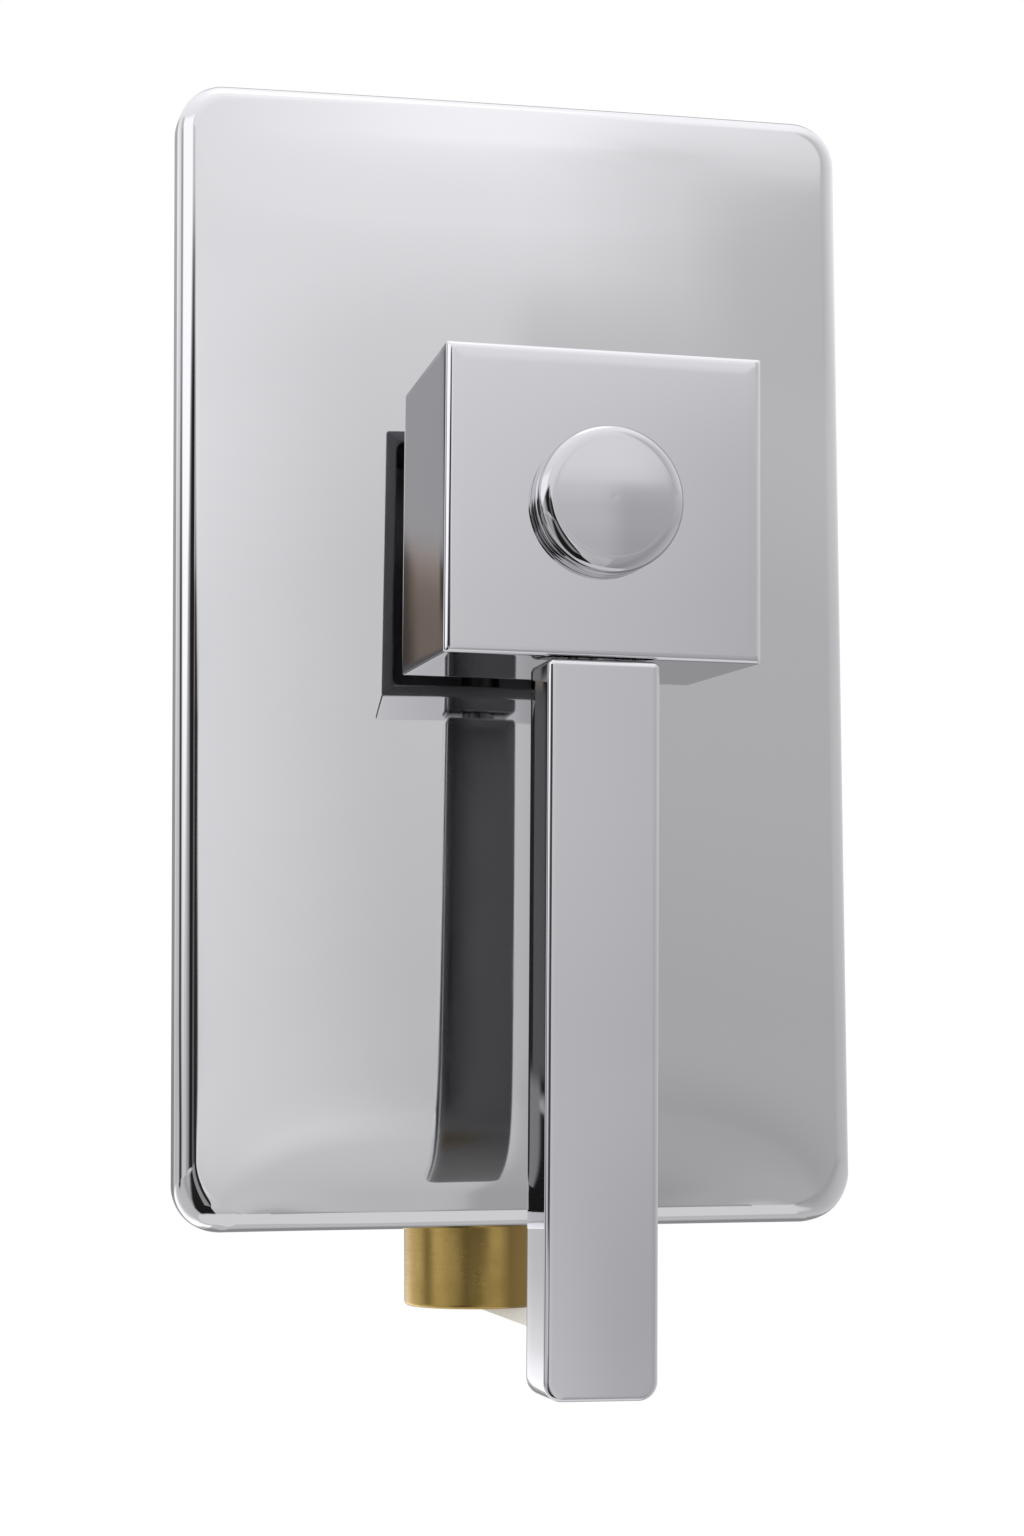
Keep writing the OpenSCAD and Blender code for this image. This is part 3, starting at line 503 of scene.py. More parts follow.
def plate_loop(inset, corner=None):
    """The plate's outline, drawn in by inset; the corner centres stay where they are unless corner is given."""
    corner = PLATE_CORNER - inset if corner is None else corner
    return loop(PLATE_W / 2 - inset, PLATE_H / 2 - inset, corner, 72, 16, MID, 0.8)


def raised(sections):
    """Sections (loop, out) as (loop, out array), lifted by the crown."""
    return [(l, out + plate_rise(l[:, 0], l[:, 1])) for l, out in sections]


outline, hollow_edge = plate_loop(0), plate_loop(PLATE_EDGE)
outwards = (outline - hollow_edge) / PLATE_EDGE
wide = plate_loop(PLATE_EDGE, FACE_CORNER)
lower = np.clip(0.5 - (wide[:, 1:] + PLATE_DROP) / CORNER_BLEND, 0, 1)
face_edge = hollow_edge + (wide - hollow_edge) * lower
spread = 1 - (1 - np.linspace(0, 1, FACE_ROWS)) ** 1.7
print("outline:", len(outline), "points, rows of the face:", FACE_ROWS)

# %% [markdown]
# ## The plate's shoulder
#
# The face and the shoulder must meet without a line, because a mirror shows every
# break of slope. Only along the lower edge the press has left a crease: there the
# photograph has a crisp line with a pale band under it.

# %% The plate's shoulder
CREASE_START, CREASE_SLOPE, CREASE_JUMP = 0.92, math.radians(36), math.radians(12)
SLOPE_STEP = 0.014


def plate_shoulder(steps=26):
    """Sections of an arc from near the face's edge to the outline, for p from a to 90 degrees.

    A point lies the share k (1 - sin p) of the way from the outline to the face's edge, and k r (cos a - cos p)
    below the arc's start. The angle a is the face's own slope, so the face first runs straight on. Along the lower
    edge the arc starts at 0.92 of the way, and a is at least 36 degrees and at least 12 more than the slope."""
    across = outline - face_edge
    edge_rise = plate_rise(face_edge[:, 0], face_edge[:, 1])
    before = face_edge - SLOPE_STEP * across
    fall = (plate_rise(before[:, 0], before[:, 1]) - edge_rise) / SLOPE_STEP
    radius = np.einsum("ij,ij->i", across, outwards)
    a = np.arctan(fall / radius)
    crease = np.clip(-outwards[:, 1], 0, 1) ** 8
    start = (1 - np.sin(a)) * (1 - crease) + CREASE_START * crease
    start_out = PLATE_OUT + edge_rise - fall * (1 - start)
    a = a + np.maximum(CREASE_JUMP, CREASE_SLOPE - a) * crease
    k = start / (1 - np.sin(a))
    arcs = []
    for t in np.linspace(0, 1, steps + 1):
        p = a + (math.pi / 2 - a) * t
        share = k * (1 - np.sin(p))
        arcs.append((outline - across * share[:, None], start_out - radius * k * (np.cos(a) - np.cos(p))))
    slopes, ends = np.degrees(a), arcs[-1][1]
    print(f"slope of the shoulder's start: {slopes.min():.1f} to {slopes.max():.1f} degrees")
    print(f"the shoulder ends {ends.min():.2f} to {ends.max():.2f} mm out")
    return arcs


shoulder_arcs = plate_shoulder()

# %% [markdown]
# ## The wall plate
#
# The plate's profile runs from the lip of the hole over the face, round the shoulder,
# down the side to the rim on the wall, back up inside and down the collar, and closes
# on itself. Each row of the grid is one loop round the plate, at one step of it.

# %% Wall plate
LIP_R, RIM_R, COLLAR_OUT = 0.3, 0.3, 7.4

lip = [(circle_like(face_edge, HOLE_R + LIP_R * (1 - s)), PLATE_OUT - LIP_R * (1 - c)) for s, c in quarter(4, 90, 0)]
hole_lip = circle_like(face_edge, HOLE_R + LIP_R)
face = [(hole_lip + (face_edge - hole_lip) * t, PLATE_OUT) for t in spread[1:]]
rim_steps = ((0, 0.4), (0.1, 0.1), (0.4, 0.0), (PLATE_WALL - RIM_R, 0.0), (PLATE_WALL, RIM_R))
rim = [(plate_loop(inset), out) for inset, out in rim_steps]
inner_out, inner_r = PLATE_OUT - PLATE_WALL, PLATE_EDGE - PLATE_WALL
hollow = [(plate_loop(PLATE_WALL + inner_r * (1 - s)), inner_out - inner_r * (1 - c)) for s, c in quarter(6, 90, 0)]
back_lip = circle_like(face_edge, HOLE_R + PLATE_WALL + 0.5)
back = [(hollow_edge + (back_lip - hollow_edge) * t, inner_out) for t in 1 - spread[::-4][1:]]
back += [(circle_like(face_edge, HOLE_R + 1.6), COLLAR_OUT)]
collar_steps = ((1.5, 7.0), (1.5, 3.8), (1.2, 3.5), (0.3, 3.5), (0.0, 3.8))
collar = [(circle_like(face_edge, HOLE_R + r), out) for r, out in collar_steps]
sections = raised(lip + face) + shoulder_arcs + rim + hollow + raised(back) + collar
wall_plate = make_piece("plate_skin", [stack(sections)], "valve", ["wall_plate"])
wall_plate.data.materials.append(plate_chrome)

# %% [markdown]
# ## The sleeve
#
# A chromed tube screws on the body and reaches out under the hub; a cap ring with a
# rounded shoulder closes its end. Both are turned on a lathe, so both are profiles
# spun round the valve's axis. A groove holds the rubber ring that grips the plate.

# %% Sleeve tube and cap ring
GROOVE_OUT, GROOVE_HALF, GROOVE_R = 5.5, 1.05, HOLE_R - 2.05
CAP_LEDGE_R, CAP_SPIGOT_R, CAP_HOLE_R, CAP_H = 13.5, 16.5, 7.4, 4.0

bore_r = SLEEVE_R - SLEEVE_WALL
groove_low, groove_high = GROOVE_OUT - GROOVE_HALF, GROOVE_OUT + GROOVE_HALF
tube_profile = rounded([
    (bore_r, SLEEVE_FOOT, 0.3), (SLEEVE_R, SLEEVE_FOOT, 0.3),
    (SLEEVE_R, groove_low, 0.1), (GROOVE_R, groove_low, 0.1),
    (GROOVE_R, groove_high, 0.1), (SLEEVE_R, groove_high, 0.1),
    (SLEEVE_R, SLEEVE_END, 0.15), (bore_r, SLEEVE_END, 0.2)])
cap_profile = rounded([
    (CAP_HOLE_R, SLEEVE_END - 1.0, 0.1), (CAP_LEDGE_R, SLEEVE_END - 1.0, 0.1),
    (CAP_LEDGE_R, SLEEVE_END - 4.0, 0.2), (CAP_SPIGOT_R, SLEEVE_END - 4.0, 0.3),
    (CAP_SPIGOT_R, SLEEVE_END, 0.05), (SLEEVE_R, SLEEVE_END, 0.15),
    (SLEEVE_R, SLEEVE_END + CAP_H, 2.0), (CAP_HOLE_R, SLEEVE_END + CAP_H, 0.4)], 12)
sleeve = make_piece("sleeve_skin", [turned(tube_profile, 160)], "valve", ["sleeve_tube"])
sleeve_cap = make_piece("sleeve_cap_skin", [turned(cap_profile, 160)], "valve", ["sleeve_cap"])
for piece in (sleeve, sleeve_cap):
    piece.data.materials.append(sleeve_chrome)

# %% [markdown]
# ## The hub
#
# The hub is a zinc casting: its four sides lean in towards the wall by a degree and a
# half so that it leaves its mould, its back is hollow, and a boss inside holds the
# splined insert. The lean matters to the picture, because it decides what the sides
# mirror. The profile starts at the front bore, crosses the face, rounds the front
# edge, follows the drafted side to the back rim, and returns inside round the boss.

# %% Hub
HUB_EDGE, HUB_SIDE_R, HUB_WALL, HUB_FILLET = 1.2, 0.4, 2.0, 1.5
WEB_BACK, BOSS_BACK, BORE_FLOOR = 57.95, 43.45, 60.45
BORE_R, BOSS_R, SPLINE_R, SCREW_R = 8.6, 12.0, 8.05, 2.8
STUD_R, STUD_BOSS_R, STUD_BOSS_OUT = 3.1, 6.0, 61.0


def hub_loop(out, inset=0.0, side_r=HUB_SIDE_R):
    """The hub's outline at a distance out: each half width shrinks by (front - out) tan(draft) and by inset."""
    lost = (HUB_FRONT - out) * math.tan(HUB_DRAFT) + inset
    return loop(HUB_W / 2 - lost, HUB_H / 2 - lost, side_r, 40, 10)


hub_base = hub_loop(HUB_FRONT, HUB_EDGE)


def hub_rings(*steps):
    """Round sections of the hub from (radius, out) steps."""
    return [(circle_like(hub_base, r), out) for r, out in steps]


front_bore = hub_rings((BORE_R, HUB_FRONT - 0.3), (8.7, HUB_FRONT - 0.05), (8.9, HUB_FRONT))
bore_edge = front_bore[-1][0]
hub_face = [(bore_edge + (hub_base - bore_edge) * t, HUB_FRONT) for t in np.linspace(0, 1, 10)[1:]]
edge_steps = [(HUB_FRONT - HUB_EDGE * (1 - c), HUB_EDGE * (1 - s)) for s, c in quarter(16)][1:]
edge = [(hub_loop(out, inset), out) for out, inset in edge_steps]
side = [(hub_loop(out), out) for out in (60.0, 50.0, 40.0, 30.0, HUB_BACK + 0.25)]
rim = [(hub_loop(HUB_BACK, 0.07), HUB_BACK + 0.07), (hub_loop(HUB_BACK, 0.25), HUB_BACK),
       (hub_loop(HUB_BACK, HUB_WALL - 0.25), HUB_BACK)]
inside = [(hub_loop(out, HUB_WALL, HUB_FILLET), out) for out in (HUB_BACK + 0.25, 40.0, 50.0, WEB_BACK - HUB_FILLET)]
inside += [(hub_loop(WEB_BACK, HUB_WALL + HUB_FILLET * (1 - s), HUB_FILLET), WEB_BACK - HUB_FILLET * (1 - c))
           for s, c in quarter(5, 90, 0)][1:]
boss = hub_rings(
    (13.0, WEB_BACK), (12.2, WEB_BACK - 0.3), (BOSS_R, WEB_BACK - 1.0),
    (BOSS_R, BOSS_BACK + 0.3), (11.7, BOSS_BACK), (8.3, BOSS_BACK), (SPLINE_R, BOSS_BACK + 0.3),
    (SPLINE_R, WEB_BACK), (SCREW_R, WEB_BACK), (SCREW_R, BORE_FLOOR), (BORE_R, BORE_FLOOR))
hub_shell = stack(front_bore + hub_face + edge + side + rim + inside + boss)
stud_profile = rounded([(STUD_R, -23.6, 0), (STUD_BOSS_R, -23.6, 0), (STUD_BOSS_R, -9.0, 0), (STUD_R, -9.0, 0)])
stud_boss = turned(stud_profile, 48, "z", (0.0, -STUD_BOSS_OUT))
hub = make_piece("hub_casting", [hub_shell, stud_boss], "handle", ["handle_hub"], HANDLE_TURN)
hub.data.materials.append(hub_chrome)


def hub_inside(x, out, z, to_wall):
    """The hollow and the back rim; the hub is wider than it is high and hangs a little to one side."""
    hollow = np.maximum(abs(x) - 0.6, abs(z) + 0.6) < 23.5
    return (out < HUB_FRONT - 2) & (hollow | (to_wall > 0.9))


two_toned(hub, cast_zinc, hub_inside)

# %% [markdown]
# ## The button and its foot ring
#
# The button covers the screw that holds the handle. It is turned brass, plated: a
# skirt that pushes into the bore, a thin shadow groove, a rounded shoulder and a face
# that is domed by half a millimetre, with a faint trace of the lathe's centre in it.

# %% Button
FACE_R, DOME_RISE, SHOULDER_DROP = 9.3, 0.5, 1.8
DOME_R = (FACE_R**2 + DOME_RISE**2) / (2 * DOME_RISE)
RING_H, GROOVE_H, GROOVE_IN = 1.6, 0.6, 0.5
SKIRT_R, SKIRT_IN_R, SKIRT_DEPTH = 8.45, 7.15, 4.5


def spun(profile, around=160):
    """A solid of revolution whose outline starts and ends on the axis: the two pole points are single."""
    ring, quads = turned(profile[1:-1], around)
    cols = len(profile) - 2
    quads = quads.reshape(around, cols, 4)[:, : cols - 1].reshape(-1, 4)
    poles = np.array([(0, -profile[0, 1], 0), (0, -profile[-1, 1], 0)])
    top, bottom = np.full(around, len(ring)), np.full(around, len(ring) + 1)
    i = np.arange(around)
    j = (i + 1) % around
    last = cols - 1
    fan_top = np.stack([j * cols, i * cols, top, top], -1)
    fan_bottom = np.stack([i * cols + last, j * cols + last, bottom, bottom], -1)
    return np.concatenate([ring, poles]), np.concatenate([quads, fan_bottom, fan_top])


shoulder_top = HUB_FRONT + BUTTON_OUT - DOME_RISE
dome = np.linspace(0, FACE_R, 40)[:, None]
dome_top = shoulder_top + np.sqrt(DOME_R**2 - dome**2) - (DOME_R - DOME_RISE)
dimple = 0.008 * np.exp(-((dome / 0.4) ** 2))
a = np.linspace(0, math.pi / 2, 25)[1:, None]
shoulder = np.hstack([FACE_R + (BUTTON_R - FACE_R) * np.sin(a), shoulder_top - SHOULDER_DROP * (1 - np.cos(a))])
foot, groove_r = HUB_FRONT + RING_H, BUTTON_R - GROOVE_IN
under = np.array([
    (BUTTON_R, foot + 0.75), (11.7, foot + 0.62), (11.55, foot + GROOVE_H), (groove_r, foot + GROOVE_H),
    (groove_r, foot), (SKIRT_R, foot), (SKIRT_R, HUB_FRONT - SKIRT_DEPTH + 0.1), (8.3, HUB_FRONT - SKIRT_DEPTH),
    (SKIRT_IN_R, HUB_FRONT - SKIRT_DEPTH), (SKIRT_IN_R, foot + GROOVE_H), (0.0, foot + GROOVE_H)])
button_profile = np.concatenate([np.hstack([dome, dome_top - dimple]), shoulder, under])
button = make_piece("button_skin", [spun(button_profile)], "handle", ["button_cap"], HANDLE_TURN)
ring_profile = rounded([
    (BORE_R, HUB_FRONT, 0), (BUTTON_R, HUB_FRONT, 0.05), (BUTTON_R, foot, 0.4), (BORE_R, foot, 0.2)], 8)
foot_ring = make_piece("foot_ring_skin", [turned(ring_profile, 160)], "handle", ["button_ring"], HANDLE_TURN)
for piece in (button, foot_ring):
    piece.data.materials.append(button_chrome)

# %% [markdown]
# ## The bar lever
#
# A solid bar with a fine rounded front edge. Its lower corners have three millimetres,
# its upper ones are tighter, and its back and its top face are duller than the rest and
# painted dark as shade where they face the plate and the hub. The back's lower end below
# the plate is painted paler as light. It hangs from a stud under the hub, on a small round
# seat that leaves the dark seam open.

# %% Lever
BAR_CORNER, BAR_TOP_CORNER, BAR_EDGE, BAR_BACK_EDGE = 3.0, 1.0, 0.9, 0.35
LEVER_BACK = HUB_FRONT - LEVER_T
BAR_MID = (0.0, LEVER_TOP - LEVER_L / 2)
SPINE_END = 9.0
SEAT_R, SEAT_H = 4.4, 0.6


def bar_loop(inset):
    """The bar's outline, drawn in by inset: its upper corners are tight, its lower ones have the full radius."""
    half_w, half_l = LEVER_W / 2 - inset, LEVER_L / 2 - inset
    low = loop(half_w, half_l, BAR_CORNER - inset, 24, 14, BAR_MID)
    high = loop(half_w, half_l, max(BAR_TOP_CORNER - inset, 0.05), 24, 14, BAR_MID)
    return np.where(low[:, 1:] > BAR_MID[1], high, low)


def drawn_in(inset, out, shares):
    """Sections at one distance out, from the bar's middle line (share 0) to its outline (share 1)."""
    height = np.clip(bar_loop(2.9)[:, 1], BAR_MID[1] - LEVER_L / 2 + SPINE_END, BAR_MID[1] + LEVER_L / 2 - SPINE_END)
    spine = np.stack([np.zeros(len(height)), height], -1)
    return [(spine + (bar_loop(inset) - spine) * t, out) for t in shares]


def capped(sections):
    """A closed shell through sections whose first and last loops are each closed by quads across, point to point."""
    points, quads = stack(sections, close=False)
    n = len(sections[0][0])
    k = np.arange(n // 2 - 1)
    cap = np.stack([k, k + 1, n - 2 - k, n - 1 - k], -1)
    last = (len(sections) - 1) * n
    return points, np.concatenate([quads, cap, (last + cap)[:, ::-1]])


front = drawn_in(BAR_EDGE, HUB_FRONT, (0.25, 0.5, 0.75, 0.95))
front += [(bar_loop(BAR_EDGE * (1 - s)), HUB_FRONT - BAR_EDGE * (1 - c)) for s, c in quarter(12)]
back = [(bar_loop(0), LEVER_BACK + 4), (bar_loop(0), LEVER_BACK + BAR_BACK_EDGE)]
back += [(bar_loop(BAR_BACK_EDGE * (1 - c)), LEVER_BACK + BAR_BACK_EDGE * (1 - s)) for s, c in quarter(5)][1:]
back += drawn_in(BAR_BACK_EDGE, LEVER_BACK, (0.75, 0.25))
seat_low, seat_high = LEVER_TOP - 0.3, LEVER_TOP + SEAT_H
seat_profile = rounded([(STUD_R, seat_low, 0), (SEAT_R, seat_low, 0), (SEAT_R, seat_high, 0.1), (STUD_R, seat_high, 0)])
seat = turned(seat_profile, 48, "z", (0.0, -(HUB_FRONT - LEVER_T / 2)))
lever = make_piece("lever_skin", [capped(front + back), seat], "handle", ["lever_bar"], HANDLE_TURN)
lever.data.materials.append(hub_chrome)
# painted shade on the back, the top face and the seat, with painted light on the back's lower end below the plate
two_toned(lever, bar_back_painted_shade, lambda x, out, z, to_wall: (to_wall > 0.9) | (z > LEVER_TOP - 0.12))

# %% [markdown]
# ## The barrel below the plate
#
# The lower connection comes out under the plate as a turned brass barrel, with a
# slight break of the edge at its mouth. It is spun about its own upright axis.

# %% Barrel
SPIGOT_R, SPIGOT_TOP, BARREL_BORE_R, MOUTH_R, MOUTH_L = 9.2, -34.0, 7.0, 9.3, 14.0

barrel_profile = rounded([
    (MOUTH_R, BARREL_END, 0.3), (BARREL_R, BARREL_END, 0.8), (BARREL_R, BARREL_TOP, 0.3), (SPIGOT_R, BARREL_TOP, 0.1),
    (SPIGOT_R, SPIGOT_TOP, 0.4), (BARREL_BORE_R, SPIGOT_TOP, 0.3), (BARREL_BORE_R, BARREL_END + MOUTH_L, 0.2),
    (MOUTH_R, BARREL_END + MOUTH_L, 0.2)], 8)
barrel_shell = turned(barrel_profile, 160, "z", (0.0, BARREL_Y))
barrel = make_piece("barrel_skin", [barrel_shell], "valve", ["lower_tail"])
barrel.data.materials.append(barrel_brass)

# %% [markdown]
# ## The room that the chrome mirrors
#
# The photograph was taken in a white tent, and chrome shows all of it. Here the tent
# is a large sphere round the object, painted by direction. A direction is an azimuth
# from straight in front of the plate, positive to the right, and an elevation, both
# in degrees. Brightness is 1 for white. The room is brightest overhead, falls off to
# grey at the front right and low down, and is a little brighter beside the dark gap.

# %% The tent's plain part
def curve(x, points):
    """A value read off the straight lines between points, given as {place: value}."""
    return np.interp(x, list(points), list(points.values()))


def band(x, low, high, soft):
    """1 between low and high, 0 outside, with soft borders."""
    return smooth(x, low - soft, low + soft) * (1 - smooth(x, high - soft, high + soft))


def over(value, colour, cover):
    """Paints a colour over a value, where cover goes from 0 to 1."""
    return value + (colour - value) * cover


def gap_border(el):
    """Azimuth of the border between the dark gap and the room, at an elevation."""
    return curve(el, {-36: 8, -30: 5.5, -25: 3.5, -17: 1.2, -13: -0.5, -9: -2.5, -6: -3.6, -3: -4.4, -1: -5.0,
                      1: -5.8, 3: -6.8, 6: -8.1, 8: -8.9, 10: -9.9, 12: -11, 14: -12, 16: -13})


def room(az, el):
    """The room without its left wall: a brightness by elevation, times one by azimuth at three levels."""
    height = curve(el, {-90: .95, -66: .95, -62: .70, -48: .74, -35: .80, -22: .84, -12: .86, -7: .86, -3: .77,
                        0: .76, 2: .79, 4: .82, 8: .84, 10: .90, 12.5: .97, 14: 1.07, 17: 1.16, 22: 1.18,
                        35: 1.24, 48: 1.29, 60: 1.38, 74: 1.45, 79: 1.95})
    low = curve(az, {-10: 1.05, 0: .97, 3: .94, 6: .92, 10: .94, 12: .93, 14: .88, 15: .74, 16: .69, 20: .69,
                     26: .62, 34: .60, 60: .8, 90: .9, 120: .95, 150: 1.0})
    level = curve(az, {2: 1, 8: 1, 12: .98, 14: .93, 16: .86, 17.5: .80, 20: .78, 31: .78, 40: .85, 60: .9,
                       90: .95, 120: 1.0, 150: 1.15})
    high = curve(az, {16: .99, 22: .96, 26: .90, 29: .83, 31: .70, 34: .64, 50: .70, 80: .85, 120: 1.0})
    is_level, is_high = smooth(el, -6, -1), smooth(el, 10.5, 14.5)
    side = low * (1 - is_level) + level * is_level * (1 - is_high) + high * is_high
    side = side + (1 - side) * np.maximum(smooth(el, 34, 62), 1 - smooth(el, -66, -60))
    beside_gap = curve(az - gap_border(el), {0: 0.23, 1.5: 0.18, 3: 0.13, 4.5: 0.08, 6.5: 0.03, 9: 0})
    return height * side + (1 - smooth(el, 11, 16)) * smooth(el, -14, -7) * beside_gap


# %% [markdown]
# ## The left of the tent
#
# On the left a bright panel leans over a greyer wall, with a dark slit at its edge.
# The plate's rounded left edge squeezes all of it into a few upright stripes, which
# the photograph shows. Below the wall the cloth is grey again.

# %% The tent's left wall
def left_wall(value, az, el):
    """Paints the wall from the gap round to the back, with its panel and its slit, over a value."""
    wall = curve(az, {-180: .86, -150: .80, -122: .80, -66: .80, -58: .53, -48: .40, -30: .40})
    rear = curve(el, {-1: .68, 2: .76, 5: .80, 9: .88, 12: .97, 16: 1.12})
    wall = over(wall, rear, 1 - smooth(az, -128, -118))
    panel_right = curve(el, {-2: -78, 0: -77, 3: -72, 6: -65, 9: -60, 10: -55.5, 12: -50, 14: -44, 16: -38, 40: -34})
    panel = 1 - smooth(az, panel_right - 6, panel_right + 6)
    panel_tone = curve(el, {-2: .84, 1: 1.06, 3: 1.22, 5: 1.38, 7: 1.52})
    wall = over(wall, panel_tone, panel * smooth(az, -105, -99))
    slit_place = curve(el, {-40: 96, -2: 99, 0: 105, 6: 108, 11: 113, 16: 110})
    slit = 1 - smooth(np.abs(az + slit_place), 2, curve(el, {9: 18, 12: 14}))
    wall = wall * (1 - slit * curve(el, {-40: 0, -25: .95, 8: .95, 11: .75, 13: .5, 16: .4, 19: 0}))
    cover = smooth(-az, 18, 30) * (1 - smooth(el, 26, 34)) * smooth(el, -9, -4)
    return over(value, wall, cover * (1 - (1 - panel) * smooth(el, 14.5, 16)))


def below_left_wall(value, az, el):
    """Paints the cloth under the left wall, a pale hem and a dark slit, over a value."""
    cloth = curve(az, {-180: 1.5, -150: 1.5, -136: .9, -120: .75, -75: .72, -60: .50, -48: .62, -30: .62})
    value = over(value, cloth, smooth(-az, 14, 20) * (1 - smooth(el, -9, -4)) * smooth(el, -62, -54))
    value = over(value, .85, band(az, -50, -31, 4) * band(el, -6, -3.4, .5))
    slit = 1 - smooth(np.abs(az + 97), 3.5, 13)
    return value * (1 - .9 * slit * band(el, -20, -5, 4))


# %% [markdown]
# ## The dark gap
#
# Between the left wall and the room is a dark gap, such as a tent has where it is left
# open. The photograph has black bands where the plate and the button mirror it. Two
# grey patches in it are painted reflections of the hub's side and of the bar, and the hub's side shows a painted
# reflection that is brown below.

# %% The tent's dark gap
def dark_gap(value, az, el):
    """Paints the gap over a value, between a left and a right border that change with the elevation."""
    end = gap_border(el) + curve(el, {-3: -.9, 4: -.9, 6: -.5, 7: -1, 8: -2.5, 9: -5, 10: -7.5, 11: -9,
                                      12: -10.5, 13: -13.5, 14: -16, 16: -15})
    end = np.minimum(end, curve(el, {-62: -13, -41: -14, -34: -12, -28: -9.5, -20: -7.5, -12: -6, -7: -5, -5: 0}))
    soft = curve(el, {6: .5, 9: 5, 12: 7})
    start = curve(el, {-60: -66, -48: -68, -40: -62, -32: -57, -27: -52, -20: -46, -16: -42, -11: -38, -8: -36,
                       -6: -30, -5: -18, -4.2: -22, -3: -45, 8: -50, 12: -44, 14: -38, 16: -36})
    strength = curve(el, {-68: 0, -62: 1, 12.5: .98, 14: .85, 15: .62, 16.5: .4, 18: 0})
    gap = smooth(az, start - 5, start + 6) * (1 - smooth(az, end - soft, end + soft)) * strength
    value = over(value, 0.015, gap)
    # painted reflections: grey patches in the gap for the hub's side and the bar seen in the plate
    value = over(value, 0.17, band(az, -27.5, -19, 1) * band(el, -2.6, 6.2, .5))
    return over(value, 0.38, band(az, -24.6, -13.5, 1) * band(el, -37, -2.8, .6))


def hub_side_patch(value, az, el):
    """Paints what the hub's left side shows: pale above, brown below and dark at its edges. Returns also its warmth."""
    patch = curve(el, {6.5: .27, 7: .25, 7.7: .25, 8: .28, 8.3: .36, 8.6: .47, 9: .60, 9.6: .60})
    patch = over(patch, .08, smooth(az, -20.5, -19.9) * (1 - smooth(el, 8.5, 9.1)))
    patch = over(patch, .09, (1 - smooth(az, -24.2, -23.0)) * band(el, 7.6, 8.8, .3))
    shown = band(az, -25.6, -19.1, .2) * band(el, 6.3, 13.0, .3)
    return over(value, patch, shown), shown * (1 - smooth(el, 8.2, 9.2))


def tent_paint(az, el):
    """The tent's colour by direction; what lies behind the object is dimmed, because it shows along outlines only."""
    value = below_left_wall(left_wall(room(az, el), az, el), az, el)
    value, warmth = hub_side_patch(dark_gap(value, az, el), az, el)
    behind = smooth(np.where(az < -174, 180, az), 140, 152)
    value = value * (1 - 0.6 * behind * band(el, -45, 45, 8))
    cool = np.stack([value * 0.995, value * 0.995, value * 1.01], -1)
    return cool * (1 + warmth[..., None] * np.array([0.22, -0.02, -0.20]))


# %% [markdown]
# ## The tent's cloth
#
# The painted directions become the points of a sphere, half a degree apart, that glows
# in its own colours. Only reflections see it, in chrome and in brass. The camera looks
# past it to the white world, and it casts no shadow and lights nothing that is matt.

# %% Tent
TENT_R, TENT_COLS, TENT_ROWS = 8.0, 720, 357

az_steps = np.linspace(-180, 180, TENT_COLS + 1)[:-1]
az_grid, el_grid = np.meshgrid(az_steps, np.linspace(-89, 89, TENT_ROWS), indexing="ij")
a, e = np.radians(az_grid), np.radians(el_grid)
tent_points = TENT_R * np.stack([np.sin(a) * np.cos(e), -np.cos(a) * np.cos(e), np.sin(e)], -1)
tent_mesh = bpy.data.meshes.new("tent")
tent_mesh.from_pydata(tent_points.reshape(-1, 3).tolist(), [], grid_quads(TENT_COLS, TENT_ROWS, True, False).tolist())
colors = np.ones((az_grid.size, 4), np.float32)
colors[:, :3] = tent_paint(az_grid, el_grid).reshape(-1, 3)
tent_mesh.color_attributes.new("paint", "FLOAT_COLOR", "POINT").data.foreach_set("color", colors.ravel())
tent = bpy.data.objects.new("tent", tent_mesh)
bpy.context.scene.collection.objects.link(tent)
tent.visible_camera = False
tent.visible_shadow = False
tent.visible_diffuse = False

cloth = bpy.data.materials.new("tent_paint")
cloth.use_nodes = True
cloth_nodes, cloth_links = cloth.node_tree.nodes, cloth.node_tree.links
cloth_nodes.clear()
attribute = cloth_nodes.new("ShaderNodeAttribute")
attribute.attribute_name = "paint"
glow = cloth_nodes.new("ShaderNodeEmission")
surface = cloth_nodes.new("ShaderNodeOutputMaterial")
cloth_links.new(attribute.outputs["Color"], glow.inputs["Color"])
cloth_links.new(glow.outputs["Emission"], surface.inputs["Surface"])
cloth.cycles.emission_sampling = "NONE"
tent_mesh.materials.append(cloth)
print("tent:", len(tent_mesh.vertices), "points")

# %% [markdown]
# ## White world, paper floor and lamp
#
# The photograph's ground is plain white, so the world is white. A sheet of white paper
# lies well below the valve. The world and one soft lamp overhead light the paper, the
# plug and the seals. Metal shows neither lamp nor paper, because the tent's paint
# already stands for all that it mirrors.

# %% World, floor and lamp
FLOOR_Z, FLOOR_HALF, FLOOR_FRONT, FLOOR_BACK = -0.42, 2.0, -0.35, 2.5

world = bpy.data.worlds.new("white")
bpy.context.scene.world = world
world.use_nodes = True
background = world.node_tree.nodes["Background"]
background.inputs["Color"].default_value = (1, 1, 1, 1)
background.inputs["Strength"].default_value = 1.0

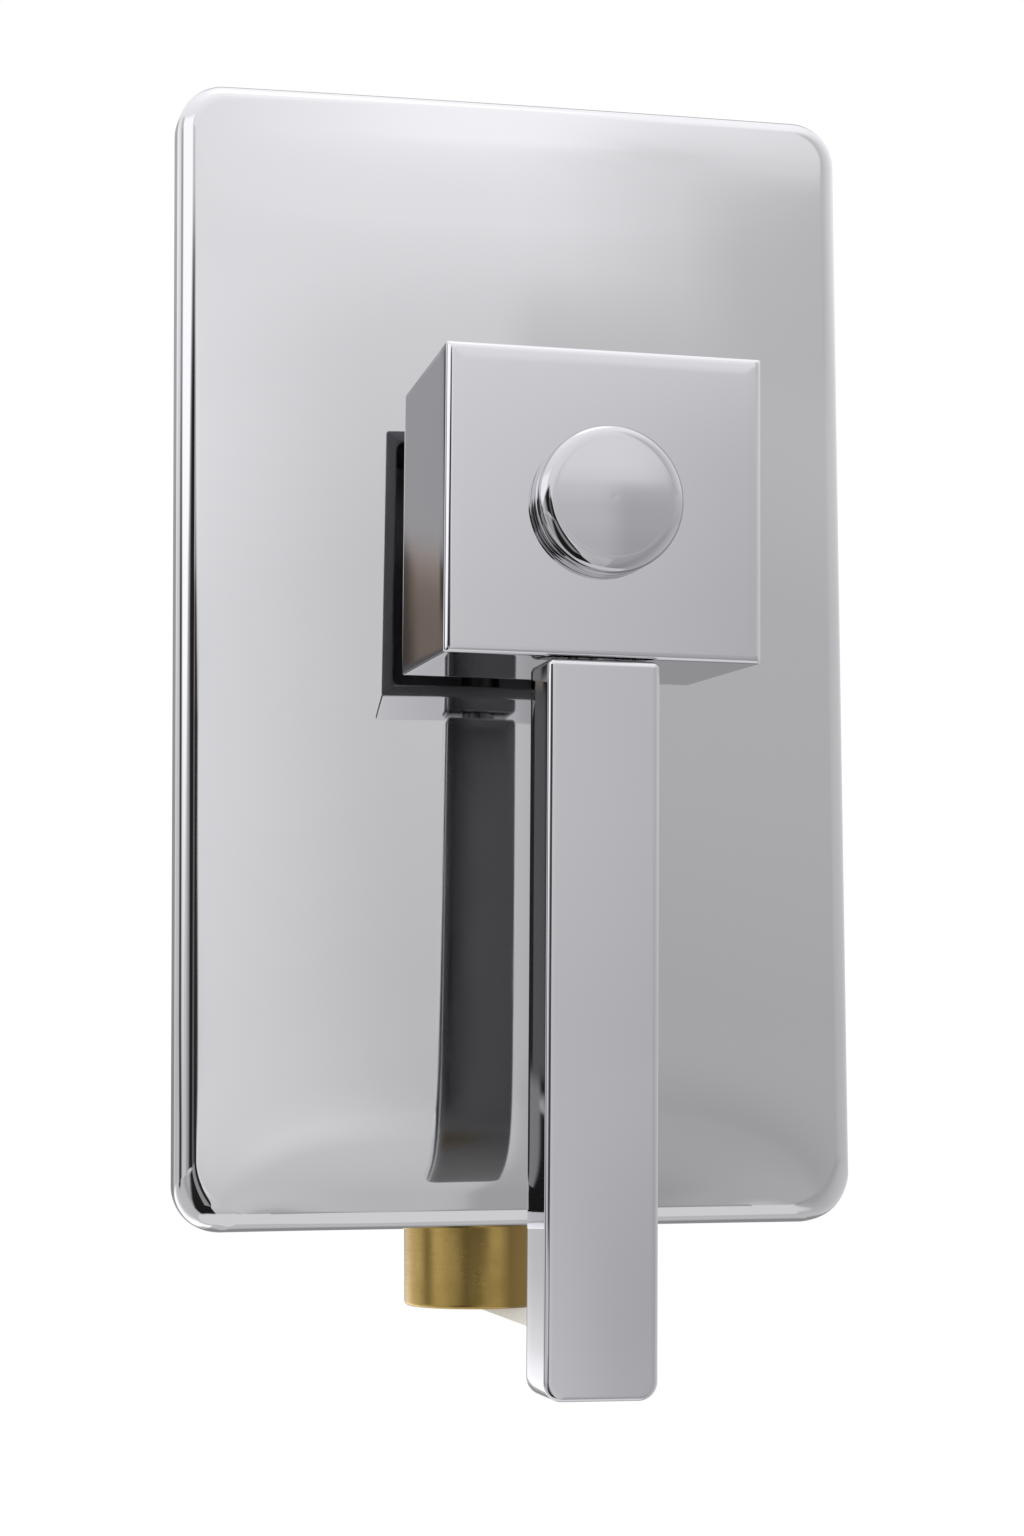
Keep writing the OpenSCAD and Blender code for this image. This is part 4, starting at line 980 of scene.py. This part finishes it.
floor_mesh = bpy.data.meshes.new("floor")
floor_mesh.from_pydata([
    (-FLOOR_HALF, FLOOR_FRONT, FLOOR_Z), (FLOOR_HALF, FLOOR_FRONT, FLOOR_Z),
    (FLOOR_HALF, FLOOR_BACK, FLOOR_Z), (-FLOOR_HALF, FLOOR_BACK, FLOOR_Z)], [], [(0, 1, 2, 3)])
floor = bpy.data.objects.new("floor", floor_mesh)
bpy.context.scene.collection.objects.link(floor)
floor.visible_glossy = False
paper, _, paper_shader = finish("paper", (0.93, 0.93, 0.93), 0.0, 1.0)
paper_shader.inputs["Emission Color"].default_value = (1, 1, 1, 1)
paper_shader.inputs["Emission Strength"].default_value = 0.06
floor_mesh.materials.append(paper)

lamp_data = bpy.data.lights.new("overhead", "AREA")
lamp_data.shape = "RECTANGLE"
lamp_data.size, lamp_data.size_y = 1.6, 1.2
lamp_data.energy = 9.0
lamp = bpy.data.objects.new("overhead", lamp_data)
bpy.context.scene.collection.objects.link(lamp)
lamp.location = (-0.3, -0.3, 1.5)
lamp.rotation_euler = (math.radians(10), math.radians(-10), 0)
lamp.visible_glossy = False
print("lamp:", lamp_data.energy, "W, floor at", FLOOR_Z, "m")

# %% [markdown]
# ## The camera
#
# The camera's place came from the straight edges of the plate, the hub and the bar. It
# stands low, to the left of the valve, and looks up and in.

# %% Camera
RIGHT, UP, AHEAD = (0.972967, -0.230863, -0.006140), (-0.015255, -0.090772, 0.995755), (0.230440, 0.968743, 0.091839)
PLACE = (-0.12805, -0.54023, -0.08717)

camera_data = bpy.data.cameras.new("camera")
camera_data.sensor_width = 36.0
camera_data.lens = 73.67
camera = bpy.data.objects.new("camera", camera_data)
bpy.context.scene.collection.objects.link(camera)
rows = [(right, up, -ahead, place) for right, up, ahead, place in zip(RIGHT, UP, AHEAD, PLACE)]
camera.matrix_world = Matrix(rows + [(0, 0, 0, 1)])
bpy.context.scene.camera = camera
bpy.context.scene.view_settings.view_transform = "Standard"
print("camera:", camera_data.lens, "mm lens,", round(math.dist(PLACE, (0, 0, 0)), 3), "m from the valve")
